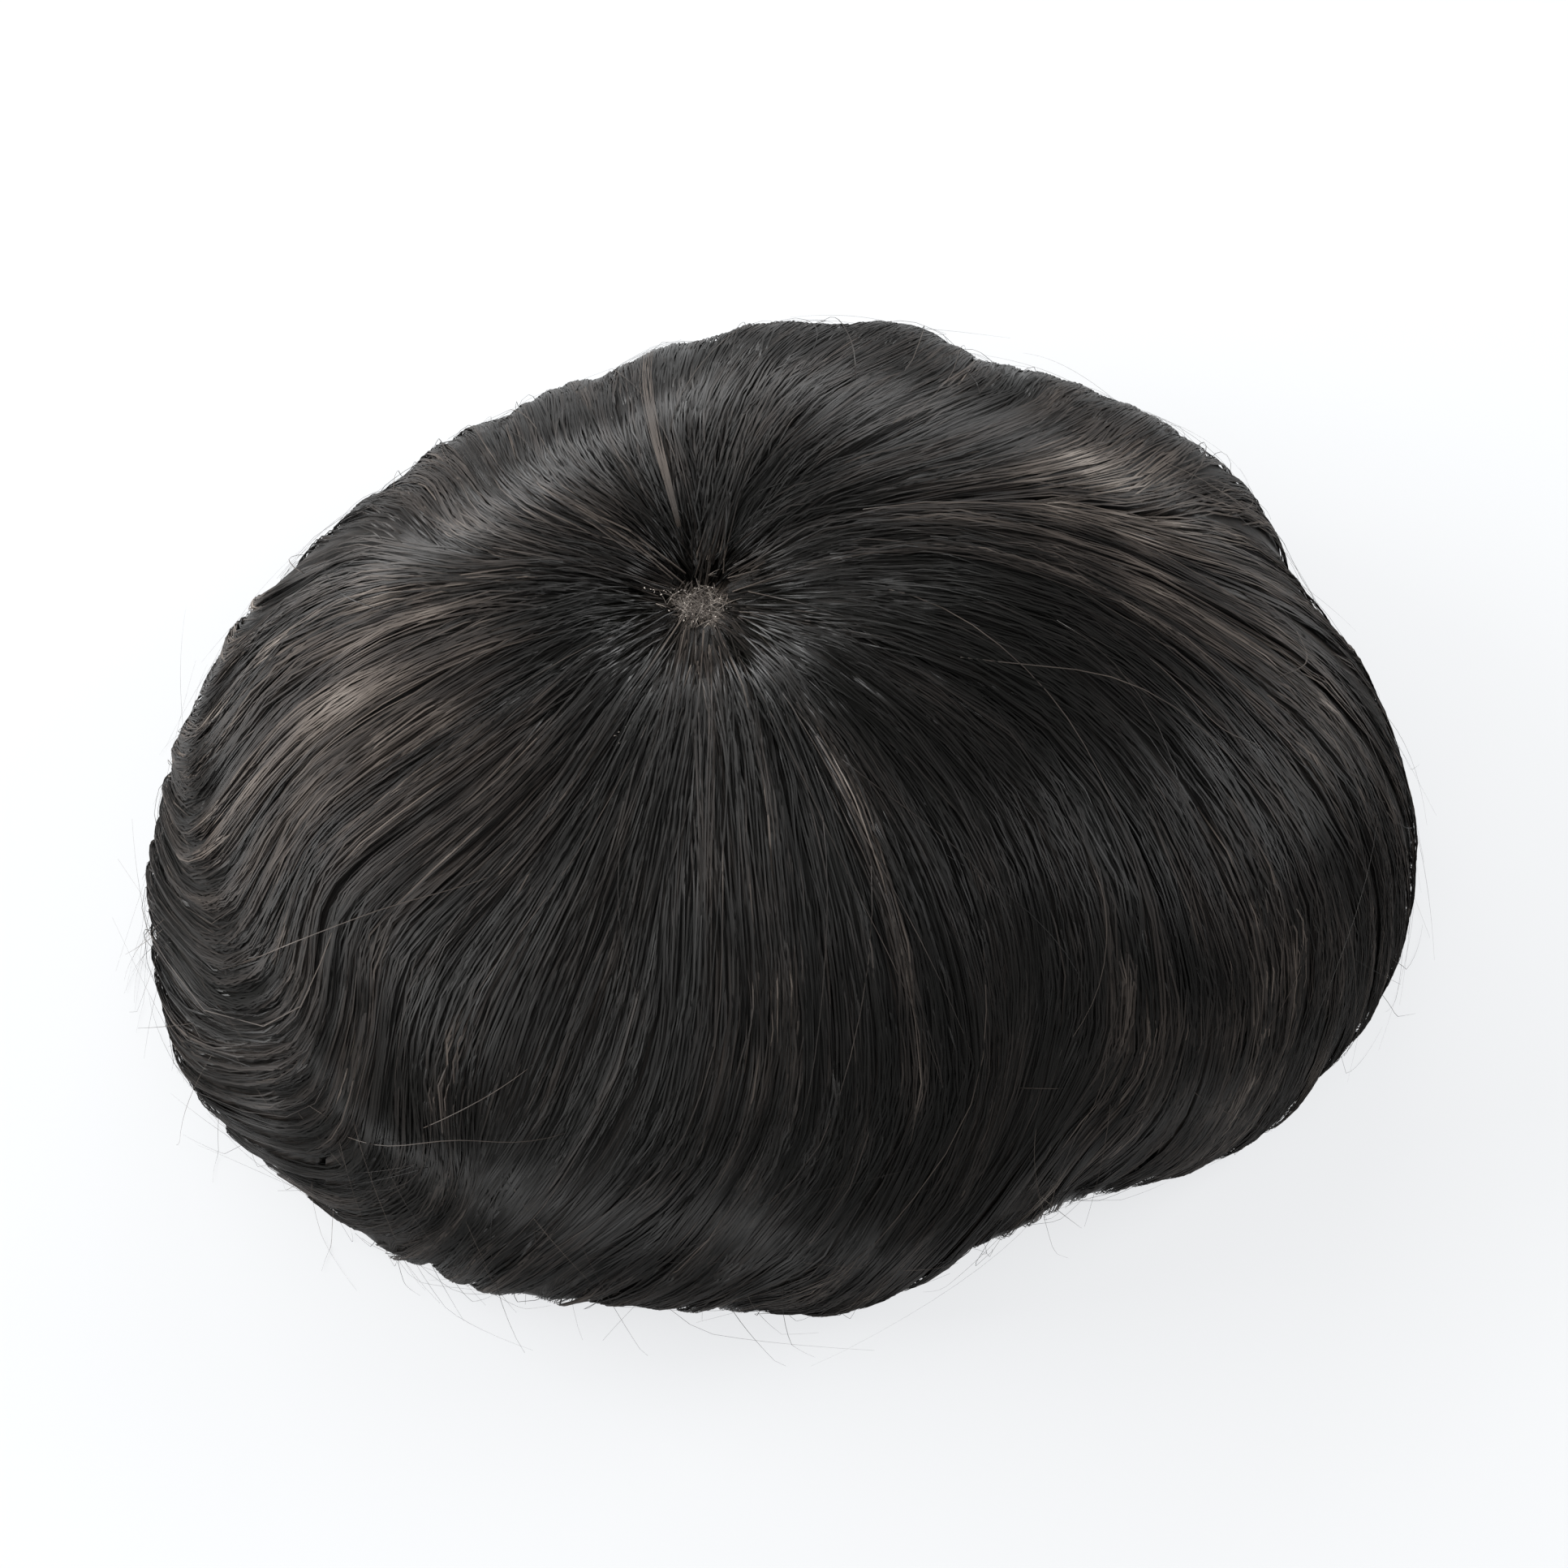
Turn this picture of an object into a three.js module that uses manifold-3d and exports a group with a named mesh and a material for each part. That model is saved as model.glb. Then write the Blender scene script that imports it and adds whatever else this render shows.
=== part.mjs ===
// A toupee hairpiece, lying crown up on a table as it rests by itself. Millimetres, +Z up.
// A thin domed base cap takes the head from below. The hair is tied all over it, turns round a
// whorl near the crown and falls past the cap's rim as a skirt that rolls in where it meets the
// table. Each combed section of hair is one solid: locks fused to a backing that lies on the cap.
// Bearings are degrees round the whorl, 0 along +X and 90 along +Y. A way is a share of the path
// that a hair takes over the dome, 0 at the whorl and 1 at the widest line of the skirt.
import * as THREE from "three";
import { mergeVertices } from "three/addons/utils/BufferGeometryUtils.js";
import Module from "manifold-3d";

const wasm = await Module();
wasm.setup();

// Base cap
const CAP_LENGTH = 200;
const CAP_WIDTH = 156;
const CAP_HEIGHT = 64;
const CAP_WALL = 1.2;
const RIM_LIFT = 3;

// Hair under the locks, measured from the cap that it is tied to
const HAIR_OVER_CROWN = 9;
const SKIRT_PAST_ENDS = 23.5;
const SKIRT_PAST_SIDES = 25.5;
const SKIRT_ROLL_HEIGHT = 10;
const SKIRT_ROLL_INSET = 7;

// Whorl, measured from the middle of the cap
const WHORL_X = -17.5;
const WHORL_Y = 21;
const WHORL_BARE_RADIUS = 5;
const WHORL_HAIR = 2.5;
const WHORL_SPREAD = 20;

// Locks and the lines that part the sections
const LOCK_RISE = 2.4;
const LOCK_ROOT = 3.5;
const SEAT_GAP = 0.3;
const PARTING_GAP = 0.4;
const CAP_BITE = 1.5;

const HALF_LENGTH = CAP_LENGTH / 2 + SKIRT_PAST_ENDS;
const HALF_DEPTH = CAP_WIDTH / 2 + SKIRT_PAST_SIDES;
const HAIR_TOP = RIM_LIFT + CAP_HEIGHT + HAIR_OVER_CROWN;
// The side of a cube that takes in the whole piece, with room all round
const ROOM = 2 * (CAP_LENGTH + CAP_WIDTH + HAIR_TOP);

// How full the dome's shoulder is: 1 is an ellipse, and less is fuller
const SHOULDER = 0.9;
// How far along a lock's tips it closes, and how quickly it fills out from them
const LEAF_TIP = 0.06;
const LEAF_FULLNESS = 0.6;
// The flat along a lock's top, as a share of its width
const LOCK_FLAT = 0.5;
// How much of the way the skirt's roll takes, past its widest line
const ROLL_WAY = 0.25;
const FULL_TURN = 360;
const RIGHT_ANGLE = Math.PI / 2;
const HALVINGS = 24;

// Facets
const CAP_SIDES = 36;
const CAP_STEPS = 7;
const BACKING_SIDES = 64;
const BACKING_STEPS = 9;
const ROLL_STEPS = 2;
const PARTING_STEPS = 12;

// The skirt's outline: its reach from the whorl, as a share of the plain oval's reach there.
// Lows are the notches between lobes of hair.
const OUTLINE = [
  { bearing: 0, reach: 0.985 },
  { bearing: 12, reach: 0.965 },
  { bearing: 30, reach: 0.995 },
  { bearing: 48, reach: 0.965 },
  { bearing: 62, reach: 1.025 },
  { bearing: 78, reach: 0.97 },
  { bearing: 90, reach: 0.95 },
  { bearing: 105, reach: 0.91 },
  { bearing: 120, reach: 0.887 },
  { bearing: 135, reach: 0.9 },
  { bearing: 150, reach: 0.895 },
  { bearing: 165, reach: 0.93 },
  { bearing: 180, reach: 0.98 },
  { bearing: 195, reach: 1.01 },
  { bearing: 210, reach: 1.06 },
  { bearing: 225, reach: 1.085 },
  { bearing: 240, reach: 1.065 },
  { bearing: 255, reach: 1.03 },
  { bearing: 270, reach: 0.98 },
  { bearing: 284, reach: 0.985 },
  { bearing: 300, reach: 0.915 },
  { bearing: 309, reach: 0.925 },
  { bearing: 320, reach: 0.98 },
  { bearing: 330, reach: 0.99 },
  { bearing: 345, reach: 1.012 },
];

// The combing: one row for each guide hair, with its bearing at each way out from the whorl
const WAYS = [0, 0.25, 0.5, 0.7, 0.85, 1];
const COMBING = [
  { name: "right, low", at: [10, 1, -10, -19, -25, -30] },
  { name: "right, middle", at: [20, 10, 3, -9, -16, -22] },
  { name: "right, high", at: [30, 19, 11, 1, -5, -11] },
  { name: "back right, low", at: [50, 32, 22, 27, 29, 28] },
  { name: "back right, high", at: [60, 52, 45, 47, 47, 45] },
  { name: "back, right", at: [70, 63, 58, 59, 59, 56] },
  { name: "back, middle", at: [82, 85, 86, 80, 77, 72] },
  { name: "back, left", at: [96, 103, 100, 95, 90, 84] },
  { name: "back left, high", at: [125, 129, 122, 116, 111, 104] },
  { name: "back left, low", at: [160, 160, 147, 137, 131, 124] },
  { name: "left, top", at: [169, 167, 159, 161, 161, 152] },
  { name: "left, high", at: [176, 173, 170, 188, 190, 180] },
  { name: "left, middle", at: [192, 197, 204, 207, 203, 192] },
  { name: "left, low", at: [215, 213, 214, 218, 216, 208] },
  { name: "left corner", at: [238, 231, 226, 228, 227, 221] },
  { name: "front left, first", at: [248, 245, 241, 240, 241, 238] },
  { name: "front left, second", at: [264, 260, 251, 247, 245, 242] },
  { name: "front left, third", at: [277, 270, 263, 256, 251, 247] },
  { name: "front left, fourth", at: [286, 277, 270, 262, 256, 252] },
  { name: "front, left", at: [296, 288, 280, 270, 263, 258] },
  { name: "front, middle", at: [306, 303, 293, 280, 273, 267] },
  { name: "front, right", at: [322, 318, 310, 301, 288, 277] },
  { name: "front right, first", at: [335, 329, 320, 311, 303, 288] },
  { name: "front right, second", at: [348, 341, 331, 322, 316, 311] },
  { name: "front right, third", at: [358, 351, 342, 334, 328, 320] },
];

// Folds of the whole mass: a dent sinks and a swell rises by a share of the hair over the crown
const FOLDS = [
  { name: "valley inside the left edge", bearing: 200, spread: 22, way: 0.8, reach: 0.07, rise: -0.3 },
  { name: "roll along the left edge", bearing: 198, spread: 22, way: 0.95, reach: 0.06, rise: 0.15 },
  { name: "hump at the back", bearing: 84, spread: 20, way: 0.7, reach: 0.2, rise: 0.15 },
  { name: "tuft at the back right", bearing: 30, spread: 12, way: 0.78, reach: 0.18, rise: 0.3 },
  { name: "groove right of the tuft", bearing: 9, spread: 6, way: 0.92, reach: 0.14, rise: -0.35 },
  { name: "groove left of the tuft", bearing: 49, spread: 6, way: 0.92, reach: 0.14, rise: -0.3 },
  { name: "step down to the right edge", bearing: 343, spread: 16, way: 0.93, reach: 0.05, rise: -0.3 },
  { name: "groove of the front right notch", bearing: 306, spread: 6, way: 0.92, reach: 0.16, rise: -0.4 },
  { name: "groove of the left corner", bearing: 232, spread: 5, way: 0.93, reach: 0.12, rise: -0.3 },
  { name: "sweep across the front", bearing: 283, spread: 18, way: 0.72, reach: 0.2, rise: 0.2 },
];

// Tiers of locks, from the crown down: the bearing between one lock and the next, the ways that
// a lock lies between, its width as a share of its room and its height as a share of the rise
const TIERS = [
  { name: "crown", pitch: 26, from: 0.12, to: 0.7, width: 1.15, rise: 0.6, steps: 5 },
  { name: "dome", pitch: 20, from: 0.36, to: 0.96, width: 1.15, rise: 0.85, steps: 5 },
  { name: "skirt", pitch: 18, from: 0.62, to: 1.25, width: 1.2, rise: 1, steps: 7 },
];

// Sections of hair, each from one parting line to the next, by bearing at the whorl
const SECTIONS = [
  { name: "back_right_tuft", from: 40, to: 64 },
  { name: "back_hair", from: 64, to: 112 },
  { name: "back_left_hair", from: 112, to: 184 },
  { name: "left_side_wave", from: 184, to: 243 },
  { name: "front_left_sweep", from: 243, to: 300 },
  { name: "front_right_sweep", from: 300, to: 345 },
  { name: "right_side_hair", from: 345, to: 400 },
];

const lace = new THREE.MeshStandardMaterial({ color: 0x6e6052, roughness: 0.75, metalness: 0 });
const hairFinish = new THREE.MeshStandardMaterial({ color: 0x231e1b, roughness: 0.4, metalness: 0 });

const radians = THREE.MathUtils.degToRad;

// A smooth curve through the points (xs, ys), read at x
function curveAt(xs, ys, x) {
  const last = xs.length - 1;
  if (x <= xs[0]) return ys[0];
  if (x >= xs[last]) return ys[last];
  let i = 0;
  while (x > xs[i + 1]) i += 1;
  const slope = (k) => {
    const before = Math.max(k - 1, 0);
    const after = Math.min(k + 1, last);
    return (ys[after] - ys[before]) / (xs[after] - xs[before]);
  };
  const step = xs[i + 1] - xs[i];
  const t = (x - xs[i]) / step;
  const rest = 1 - t;
  return (
    ys[i] * rest * rest * (1 + 2 * t) +
    slope(i) * step * t * rest * rest +
    ys[i + 1] * t * t * (3 - 2 * t) -
    slope(i + 1) * step * t * t * rest
  );
}

// The same for a table that closes on itself after a full turn
function ringCurve(xs, ys, x, gain = 0) {
  const turns = [-1, 0, 1];
  const wideXs = turns.flatMap((turn) => xs.map((v) => v + turn * FULL_TURN));
  const wideYs = turns.flatMap((turn) => ys.map((v) => v + turn * gain));
  return curveAt(wideXs, wideYs, x);
}

const outlineBearings = OUTLINE.map((row) => row.bearing);
const outlineReaches = OUTLINE.map((row) => row.reach);
const combingStarts = COMBING.map((row) => row.at[0]);

// Brings a bearing into the range from low to low plus a full turn
function turnInto(bearing, low) {
  return bearing - FULL_TURN * Math.floor((bearing - low) / FULL_TURN);
}

// How far an oval reaches from the whorl along a bearing
function ovalReach(bearing, halfLength, halfWidth) {
  const dx = Math.cos(radians(bearing)) / halfLength;
  const dy = Math.sin(radians(bearing)) / halfWidth;
  const wx = WHORL_X / halfLength;
  const wy = WHORL_Y / halfWidth;
  const a = dx * dx + dy * dy;
  const b = wx * dx + wy * dy;
  const c = wx * wx + wy * wy - 1;
  return (-b + Math.sqrt(b * b - a * c)) / a;
}

function skirtReach(bearing) {
  const share = ringCurve(outlineBearings, outlineReaches, turnInto(bearing, 0));
  return ovalReach(bearing, HALF_LENGTH, HALF_DEPTH) * share;
}

// The bearing of the hair that starts at one bearing at the whorl, once it has gone this way
function combedBearing(start, way) {
  const low = combingStarts[0];
  const turned = turnInto(start, low);
  const atWays = WAYS.map((_, column) =>
    ringCurve(combingStarts, COMBING.map((row) => row.at[column]), turned, FULL_TURN),
  );
  return curveAt(WAYS, atWays, Math.min(way, 1)) + start - turned;
}

// The other way round: where the hair that passes through a bearing at this way starts
function startThrough(bearing, way) {
  let low = bearing - FULL_TURN / 2;
  let high = bearing + FULL_TURN / 2;
  for (let i = 0; i < HALVINGS; i += 1) {
    const middle = (low + high) / 2;
    if (combedBearing(middle, way) < bearing) low = middle;
    else high = middle;
  }
  return low;
}

function capTopAt(x, y) {
  const inside = 1 - (x / (CAP_LENGTH / 2)) ** 2 - (y / (CAP_WIDTH / 2)) ** 2;
  return RIM_LIFT + CAP_HEIGHT * Math.sqrt(Math.max(inside, 0));
}

const whorlDip = HAIR_TOP - capTopAt(WHORL_X, WHORL_Y) - WHORL_HAIR;

function foldRise(bearing, way) {
  return FOLDS.reduce((sum, fold) => {
    const turn = turnInto(bearing - fold.bearing, -FULL_TURN / 2) / fold.spread;
    const along = (way - fold.way) / fold.reach;
    return sum + fold.rise * HAIR_OVER_CROWN * Math.exp(-turn * turn - along * along);
  }, 0);
}

// A point of the hair's outer form, lifted off it by a given height
function hairPoint(bearing, way, lift = 0) {
  const turn = radians(bearing);
  const over = Math.min(way, 1) * RIGHT_ANGLE;
  const under = Math.min(Math.max(way - 1, 0) / ROLL_WAY, 1) * RIGHT_ANGLE;
  const reach = skirtReach(bearing);
  const out = reach * Math.sin(over) - SKIRT_ROLL_INSET * (1 - Math.cos(under));
  const domed = (HAIR_TOP - SKIRT_ROLL_HEIGHT) * Math.max(Math.cos(over), 0) ** SHOULDER;
  const dip = whorlDip * Math.exp(-((out / WHORL_SPREAD) ** 2)) * Math.cos(over);
  const height = SKIRT_ROLL_HEIGHT * (1 - Math.sin(under)) + domed - dip;
  const off = lift + foldRise(bearing, way) * Math.cos(under);
  const x = WHORL_X + (out + off * Math.sin(over)) * Math.cos(turn);
  const y = WHORL_Y + (out + off * Math.sin(over)) * Math.sin(turn);
  return new THREE.Vector3(x, y, Math.max(height + off * Math.cos(over), 0));
}

// A point well inside the cap, under the hair point with the same bearing and way
function innerPoint(bearing, way) {
  const turn = radians(bearing);
  const rim = ovalReach(bearing, CAP_LENGTH / 2, CAP_WIDTH / 2) - CAP_BITE;
  const out = rim * Math.sin(way * RIGHT_ANGLE);
  const x = WHORL_X + out * Math.cos(turn);
  const y = WHORL_Y + out * Math.sin(turn);
  return new THREE.Vector3(x, y, Math.max(capTopAt(x, y) - CAP_BITE, RIM_LIFT));
}

function toManifold(geometry) {
  const bare = geometry.clone();
  bare.deleteAttribute("normal");
  bare.deleteAttribute("uv");
  const merged = mergeVertices(bare);
  return new wasm.Manifold(
    new wasm.Mesh({
      numProp: 3,
      vertProperties: new Float32Array(merged.attributes.position.array),
      triVerts: new Uint32Array(merged.index.array),
    }),
  );
}

function toGeometry(solid) {
  const mesh = solid.getMesh();
  const geometry = new THREE.BufferGeometry();
  geometry.setAttribute("position", new THREE.BufferAttribute(mesh.vertProperties, 3));
  geometry.setIndex(new THREE.BufferAttribute(mesh.triVerts, 1));
  return geometry;
}

// A solid skinned over rings of points that run the same way round. It closes on its first ring,
// or has a flat fan at each end.
function skinned(rings, closed) {
  const sides = rings[0].length;
  const points = rings.flat();
  const faces = [];
  const spans = closed ? rings.length : rings.length - 1;
  for (let i = 0; i < spans; i += 1) {
    const here = i * sides;
    const next = ((i + 1) % rings.length) * sides;
    for (let j = 0; j < sides; j += 1) {
      const k = (j + 1) % sides;
      faces.push(here + j, here + k, next + k, here + j, next + k, next + j);
    }
  }
  if (!closed) {
    const end = (rings.length - 1) * sides;
    for (let j = 1; j < sides - 1; j += 1) {
      faces.push(0, j + 1, j, end, end + j, end + j + 1);
    }
  }
  const geometry = new THREE.BufferGeometry().setFromPoints(points);
  geometry.setIndex(faces);
  return toManifold(geometry);
}

// A solid dome on an oval rim, which can go on straight down below the rim
function dome(halfLength, halfWidth, height, below = 0) {
  const profile = [new THREE.Vector2(0, -below / height)];
  if (below > 0) profile.push(new THREE.Vector2(1, -below / height));
  for (let i = 0; i <= CAP_STEPS; i += 1) {
    const angle = (i / CAP_STEPS) * RIGHT_ANGLE;
    profile.push(new THREE.Vector2(i === CAP_STEPS ? 0 : Math.cos(angle), Math.sin(angle)));
  }
  const shape = new THREE.LatheGeometry(profile, CAP_SIDES);
  shape.rotateX(RIGHT_ANGLE);
  shape.scale(halfLength, halfWidth, height);
  shape.translate(0, 0, RIM_LIFT);
  return toManifold(shape);
}

function baseCap() {
  const outer = dome(CAP_LENGTH / 2, CAP_WIDTH / 2, CAP_HEIGHT);
  const inner = dome(
    CAP_LENGTH / 2 - CAP_WALL,
    CAP_WIDTH / 2 - CAP_WALL,
    CAP_HEIGHT - CAP_WALL,
    RIM_LIFT,
  );
  return outer.subtract(inner);
}

// The space that the hair leaves for the cap, down through the table
function capSpace() {
  return dome(
    CAP_LENGTH / 2 + SEAT_GAP,
    CAP_WIDTH / 2 + SEAT_GAP,
    CAP_HEIGHT + SEAT_GAP,
    RIM_LIFT + SEAT_GAP,
  );
}

// The way at which the hair starts, on the edge of the bare spot at the whorl
function firstWay(start) {
  const reach = skirtReach(combedBearing(start, 0));
  return Math.asin(WHORL_BARE_RADIUS / reach) / RIGHT_ANGLE;
}

// The smooth backing, all round: one slice through the hair for each bearing at its widest line
function backing() {
  const slices = [];
  for (let i = 0; i < BACKING_SIDES; i += 1) {
    const start = startThrough((i / BACKING_SIDES) * FULL_TURN, 1);
    const first = firstWay(start);
    const outer = [];
    const inner = [];
    for (let j = 0; j <= BACKING_STEPS; j += 1) {
      const way = first + (1 - first) * (j / BACKING_STEPS);
      const bearing = combedBearing(start, way);
      outer.push(hairPoint(bearing, way));
      inner.unshift(innerPoint(bearing, way));
    }
    const hem = combedBearing(start, 1);
    for (let j = 1; j <= ROLL_STEPS; j += 1) {
      outer.push(hairPoint(hem, 1 + (ROLL_WAY * j) / ROLL_STEPS));
    }
    const foot = inner[0].clone().setZ(0);
    slices.push([...outer, foot, ...inner]);
  }
  return skinned(slices, true);
}

// One lock, a leaf-shaped strip that follows the combing and sinks into the backing at its ends
function lock(tier, start, half) {
  const rings = [];
  for (let i = 0; i <= tier.steps; i += 1) {
    const along = i / tier.steps;
    const way = tier.from + (tier.to - tier.from) * along;
    const leaf = Math.max(Math.sin(Math.PI * along), LEAF_TIP) ** LEAF_FULLNESS;
    const rise = (LOCK_RISE * tier.rise + LOCK_ROOT) * leaf - LOCK_ROOT;
    const point = (side, lift) =>
      hairPoint(combedBearing(start + side * half * leaf, way), way, lift);
    rings.push([
      point(1, -LOCK_ROOT - LOCK_RISE),
      point(LOCK_FLAT, rise),
      point(-LOCK_FLAT, rise),
      point(-1, -LOCK_ROOT - LOCK_RISE),
    ]);
  }
  return skinned(rings, false);
}

// The locks of one section, side by side in each tier and shared out evenly between its partings
function locksOf(section) {
  return TIERS.flatMap((tier) => {
    const middle = (tier.from + tier.to) / 2;
    const low = combedBearing(section.from, middle);
    const high = combedBearing(section.to, middle);
    const count = Math.max(Math.round((high - low) / tier.pitch), 1);
    return Array.from({ length: count }, (_, i) => {
      const right = startThrough(THREE.MathUtils.lerp(low, high, i / count), middle);
      const left = startThrough(THREE.MathUtils.lerp(low, high, (i + 1) / count), middle);
      return lock(tier, (right + left) / 2, (tier.width * (left - right)) / 2);
    });
  });
}

// The plan of a parting line, shifted sideways off it
function partingLine(start, shift) {
  const line = [];
  for (let i = 0; i <= PARTING_STEPS; i += 1) {
    const way = i / PARTING_STEPS;
    const bearing = combedBearing(start, way);
    const turn = radians(bearing);
    const out = Math.max(skirtReach(bearing) * Math.sin(way * RIGHT_ANGLE), WHORL_BARE_RADIUS / 2);
    line.push(new THREE.Vector2(WHORL_X + out * Math.cos(turn), WHORL_Y + out * Math.sin(turn)));
  }
  const whorl = new THREE.Vector2(WHORL_X, WHORL_Y);
  const beyond = line.at(-1).clone().sub(whorl).setLength(SKIRT_PAST_ENDS).add(line.at(-1));
  line.push(beyond);
  return line.map((point, i) => {
    const before = line[Math.max(i - 1, 0)];
    const after = line[Math.min(i + 1, line.length - 1)];
    const along = after.clone().sub(before).normalize();
    return new THREE.Vector2(point.x - along.y * shift, point.y + along.x * shift);
  });
}

// A tall block whose plan lies between two parting lines
function sectionBlock(section) {
  const right = partingLine(section.from, PARTING_GAP / 2);
  const left = partingLine(section.to, -PARTING_GAP / 2);
  const arc = [];
  const low = combedBearing(section.from, 1);
  const high = combedBearing(section.to, 1);
  for (let i = 1; i < 4; i += 1) {
    const bearing = low + ((high - low) * i) / 4;
    const out = skirtReach(bearing) + SKIRT_PAST_ENDS;
    arc.push(
      new THREE.Vector2(
        WHORL_X + out * Math.cos(radians(bearing)),
        WHORL_Y + out * Math.sin(radians(bearing)),
      ),
    );
  }
  const plan = new THREE.Shape([...right, ...arc, ...left.reverse()]);
  const block = new THREE.ExtrudeGeometry(plan, { depth: ROOM, bevelEnabled: false });
  block.translate(0, 0, -ROOM / 2);
  return toManifold(block);
}

// The table plane cuts off what a lock would push below it
function aboveTable() {
  const box = new THREE.BoxGeometry(ROOM, ROOM, ROOM);
  box.translate(0, 0, ROOM / 2);
  return toManifold(box);
}

const spaceForCap = capSpace();
const roomAboveTable = aboveTable();
const wholeBacking = backing();

// One body of hair, with no specks of air shut in between a lock and its backing
function hairSection(section) {
  const block = sectionBlock(section);
  const bodies = locksOf(section)
    .reduce((body, one) => body.add(one), wholeBacking.intersect(block))
    .intersect(block)
    .subtract(spaceForCap)
    .intersect(roomAboveTable)
    .decompose();
  return bodies.reduce((most, body) => (body.volume() > most.volume() ? body : most));
}

const toupee = new THREE.Group();

function addPiece(name, solid, material) {
  const mesh = new THREE.Mesh(toGeometry(solid), material);
  mesh.name = name;
  toupee.add(mesh);
}

addPiece("base_cap", baseCap(), lace);
for (const section of SECTIONS) {
  addPiece(section.name, hairSection(section), hairFinish);
}

// The part's origin is under the middle of its box
const middle = new THREE.Box3().setFromObject(toupee).getCenter(new THREE.Vector3());
toupee.position.set(-middle.x, -middle.y, 0);

export default toupee;
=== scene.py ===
# %% [markdown]
# A toupee is a domed piece of thin lace with thousands of hairs tied to it. This one lies crown up
# on a pale table, so most of what shows is hair, and the light that slides along it. The frame
# brings the measured solids: a cap and seven combed sections. They are loaded first and stay where
# they are, and every mesh made below is fitted to them.

# %% Load the frame
import math

import bpy
import numpy as np
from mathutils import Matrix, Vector
from mathutils.bvhtree import BVHTree


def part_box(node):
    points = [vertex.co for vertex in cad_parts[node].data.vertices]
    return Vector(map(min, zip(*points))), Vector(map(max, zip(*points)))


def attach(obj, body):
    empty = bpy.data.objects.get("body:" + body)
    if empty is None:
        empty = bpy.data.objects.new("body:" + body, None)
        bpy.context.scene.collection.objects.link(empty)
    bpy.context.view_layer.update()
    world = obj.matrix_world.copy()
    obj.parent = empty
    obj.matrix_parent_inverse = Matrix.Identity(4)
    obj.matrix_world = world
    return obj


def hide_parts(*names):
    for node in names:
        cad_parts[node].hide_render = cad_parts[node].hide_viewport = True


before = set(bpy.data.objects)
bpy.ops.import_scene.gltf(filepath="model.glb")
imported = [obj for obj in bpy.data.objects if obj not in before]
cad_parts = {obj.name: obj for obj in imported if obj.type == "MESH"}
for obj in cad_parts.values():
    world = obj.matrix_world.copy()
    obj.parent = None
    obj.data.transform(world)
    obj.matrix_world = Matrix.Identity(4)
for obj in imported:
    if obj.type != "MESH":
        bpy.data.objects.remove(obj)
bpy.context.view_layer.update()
CAP_NODE = "base_cap"
HAIR_NODES = [name for name in sorted(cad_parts) if name != CAP_NODE]
MM = 0.001


def table(columns, *rows):
    """The rows of a table as dictionaries, by the names of its columns."""
    return [dict(zip(columns.split(), row)) for row in rows]


def unit(vectors):
    """The vectors at a length of 1."""
    return vectors / np.maximum(np.linalg.norm(vectors, axis=-1, keepdims=True), 1e-12)


def link_object(name, data):
    """A new object in the scene."""
    made = bpy.data.objects.new(name, data)
    bpy.context.scene.collection.objects.link(made)
    return made


def report(piece):
    """Prints how large a piece's mesh is."""
    triangles = sum(len(p.vertices) - 2 for p in piece.data.polygons)
    print(piece.name, triangles, "triangles")


# %% [markdown]
# The photograph looks down on the piece from in front, at 65 degrees above the table, with a long
# lens. A camera is placed by the point it looks at, its distance and its height angle, so that
# each of them can be changed alone.

# %% The camera
LOOK_AT = Vector((-0.6, -1.8, 29.5)) * MM
CAMERA_DISTANCE = 900 * MM
CAMERA_ELEVATION = math.radians(65)
FIELD_WIDTH = 305.7 * MM
SENSOR = 36.0

camera_data = bpy.data.cameras.new("camera")
camera_data.sensor_width = SENSOR
camera_data.lens = SENSOR * CAMERA_DISTANCE / FIELD_WIDTH
camera = link_object("camera", camera_data)
back = Vector((0, -math.cos(CAMERA_ELEVATION), math.sin(CAMERA_ELEVATION)))
camera.location = LOOK_AT + back * CAMERA_DISTANCE
camera.rotation_mode = "QUATERNION"
camera.rotation_quaternion = (-back).to_track_quat("-Z", "Y")
bpy.context.scene.camera = camera
print("lens", round(camera_data.lens, 1), "mm")

# %% [markdown]
# The table is near white, and a pale room lights it from all sides. Black hair shows almost nothing
# of its own colour: it shows the windows, stretched into bands across the strands. They stand low,
# and only a weak one is in front, so the crown and the front stay dark. The one at the left
# brightens the left edge, the next draws out the hair that leaves the whorl to the left, the one
# behind gives the sheen over the back, the one on the right the tuft, and the weak one the hem.
# The table glows a little, as paper does on a light box, so its shadow stays soft.

# %% Floor, sky and lights
ROOM_COLOUR = "#f7f8fa"
ROOM_STRENGTH = 1.2
TABLE_GLOW = 0.785
TABLE_SIZE = 6


def linear(hex_colour):
    """An sRGB hex colour as the linear values that a shader takes."""
    parts = [int(hex_colour[i : i + 2], 16) / 255 for i in (1, 3, 5)]
    return [c / 12.92 if c <= 0.04045 else ((c + 0.055) / 1.055) ** 2.4 for c in parts] + [1]


def plug(tree, made, inputs):
    """Sets the inputs of a node: each is a value or another node's socket."""
    for key, value in inputs.items():
        if isinstance(value, bpy.types.NodeSocket):
            tree.links.new(value, made.inputs[key])
        else:
            made.inputs[key].default_value = value


def node(tree, kind, inputs, **settings):
    """Adds a node of this kind, with these properties and inputs."""
    made = tree.nodes.new("ShaderNode" + kind)
    for key, value in settings.items():
        setattr(made, key, value)
    plug(tree, made, inputs)
    return made


def new_material(name):
    """A material, its tree and its Principled shader."""
    material = bpy.data.materials.new(name)
    material.use_nodes = True
    return material, material.node_tree, material.node_tree.nodes["Principled BSDF"]


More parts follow.
